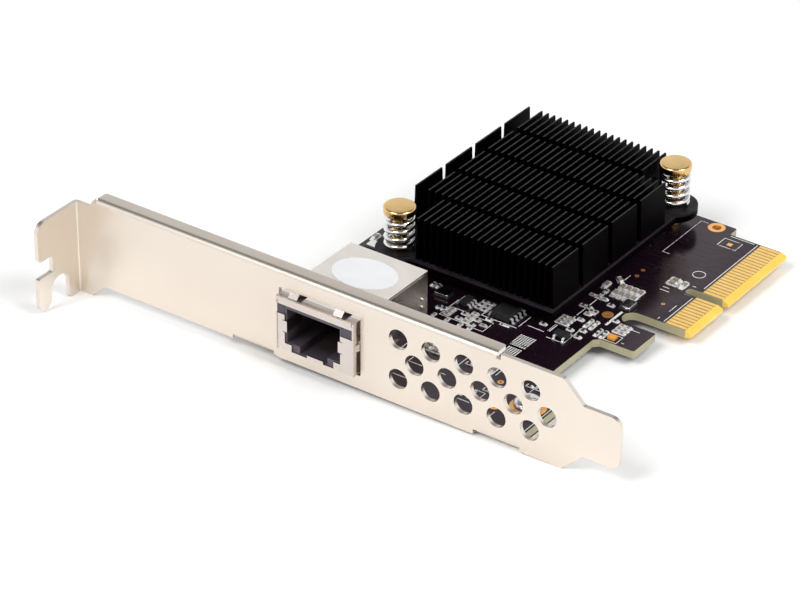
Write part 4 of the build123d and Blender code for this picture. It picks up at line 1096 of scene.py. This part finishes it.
def vias():
    """Filled vias under the mask, in the same places on both sides."""
    draw = random.Random(VIA_SEED)
    (x0, y0), (x1, y1) = VIA_LOW, VIA_HIGH
    spots = [(draw.uniform(x0, x1) * MM, draw.uniform(y0, y1) * MM) for _ in range(VIA_COUNT)]
    for name, height in (("vias_front", BOARD_TOP), ("vias_back", BOARD_BOTTOM - VIA_THICK * MM)):
        carrier = point_mesh(name, [(x, y, height) for x, y in spots])
        grown(name, carrier, DOT_TREE, "solder_mask", {
            "Radius": VIA_R * MM, "Height": VIA_THICK * MM})


def solder_joints():
    """Solder cones round the socket's tails and the shield's legs, under the board."""
    places = []
    for island in islands("socket_contacts"):
        tip = min(v.z for v in island)
        tail = [v for v in island if v.z < tip + TAIL_END * MM]
        places.append(sum(tail, Vector()) / len(tail))
    places += [mm(x, y, 0) for x, y in LEG_PLACES]
    low = BOARD_BOTTOM - JOINT_HIGH * MM
    carrier = point_mesh("solder_joints", [(p.x, p.y, low) for p in places])
    grown("solder_joints", carrier, DOT_TREE, "tinned_metal", {
        "Radius": JOINT_TIP_R * MM, "Crest": JOINT_SPREAD, "Height": JOINT_HIGH * MM,
        "Sides": JOINT_SIDES})


solder_mounds()
board_print()
traces()
vias()
solder_joints()


# Floor, light and camera

SKY_STOPS = ((0.0, 0.75), (0.06, 0.75), (0.09, 1.15), (0.30, 1.12), (0.33, 0.95), (0.56, 0.93),
             (0.64, 0.28), (1.0, 0.22))
KEY_WATTS = 4.2
KEY_SIZE = 0.4
KEY_AWAY = 0.9
KEY_ELEVATION = 50
KEY_AZIMUTHS = (("key_right", 2), ("key_front", -107))
CARD_MIDDLE = mm(60, 35, 5)
FLOOR_HALF = 3.0
FLOOR_GREY = 0.93
FLOOR_ROUGHNESS = 0.55
FLOOR_POINTS = (mm(-0.5, -1.0, -2.72), mm(81.4, 78.3, -0.92), mm(107.5, 0.4, 0.08))


def stage_floor():
    """Pale floor through the three points that the card rests on."""
    a, b, c = FLOOR_POINTS
    normal = (b - a).cross(c - a).normalized()
    if normal.z < 0:
        normal.negate()
    turn = Vector((0, 0, 1)).rotation_difference(normal).to_matrix().to_4x4()
    mesh = bpy.data.meshes.new("floor")
    work = bmesh.new()
    bmesh.ops.create_grid(work, x_segments=1, y_segments=1, size=FLOOR_HALF)
    work.to_mesh(mesh)
    work.free()
    mesh.transform(Matrix.Translation(a) @ turn)
    material = bpy.data.materials.new("floor_white")
    material.use_nodes = True
    shader = material.node_tree.nodes["Principled BSDF"]
    shader.inputs["Base Color"].default_value = (FLOOR_GREY, FLOOR_GREY, FLOOR_GREY, 1)
    shader.inputs["Roughness"].default_value = FLOOR_ROUGHNESS
    mesh.materials.append(material)
    floor = bpy.data.objects.new("floor", mesh)
    bpy.context.scene.collection.objects.link(floor)


def soft_box(name, place, target):
    """Square area light aimed at a target."""
    data = bpy.data.lights.new(name, "AREA")
    data.size = KEY_SIZE
    data.energy = KEY_WATTS
    lamp = bpy.data.objects.new(name, data)
    lamp.location = place
    lamp.rotation_euler = (target - place).to_track_quat("-Z", "Y").to_euler()
    bpy.context.scene.collection.objects.link(lamp)


def surround():
    """White surround, bright low down and dark at the zenith."""
    world = bpy.data.worlds.new("studio")
    bpy.context.scene.world = world
    world.use_nodes = True
    tree = world.node_tree
    direction = node(tree, "ShaderNodeTexCoord").outputs["Generated"]
    height = node(tree, "ShaderNodeSeparateXYZ", {0: direction}).outputs["Z"]
    ramp = node(tree, "ShaderNodeValToRGB", {0: height})
    stops = ramp.color_ramp.elements
    while len(stops) < len(SKY_STOPS):
        stops.new(0.5)
    for stop, (position, level) in zip(stops, SKY_STOPS):
        stop.position = position
        stop.color = (level, level, level, 1)
    tree.links.new(ramp.outputs["Color"], tree.nodes["Background"].inputs["Color"])


def studio():
    """White surround and two soft boxes, with colours shown as they are."""
    surround()
    for name, azimuth in KEY_AZIMUTHS:
        a, e = math.radians(azimuth), math.radians(KEY_ELEVATION)
        aim = Vector((math.cos(a) * math.cos(e), math.sin(a) * math.cos(e), math.sin(e)))
        soft_box(name, CARD_MIDDLE + KEY_AWAY * aim, CARD_MIDDLE)
    bpy.context.scene.view_settings.view_transform = "Standard"


def camera():
    """Camera with the photograph's place, aim and focal length."""
    data = bpy.data.cameras.new("camera")
    data.sensor_width = SENSOR
    data.lens = FOCAL_PX * SENSOR / IMAGE_WIDTH
    data.clip_start = CLIP_START
    a, e = math.radians(AZIMUTH), math.radians(ELEVATION)
    back = Vector((math.sin(a) * math.cos(e), -math.cos(a) * math.cos(e), math.sin(e)))
    right = Vector((math.cos(a), math.sin(a), 0))
    turn = Matrix((right, back.cross(right), back)).transposed()
    turn = turn @ Matrix.Rotation(math.radians(ROLL), 3, "Z")
    made = bpy.data.objects.new("camera", data)
    made.matrix_world = Matrix.Translation(CAMERA_AT) @ turn.to_4x4()
    bpy.context.scene.collection.objects.link(made)
    bpy.context.scene.camera = made


stage_floor()
studio()
camera()
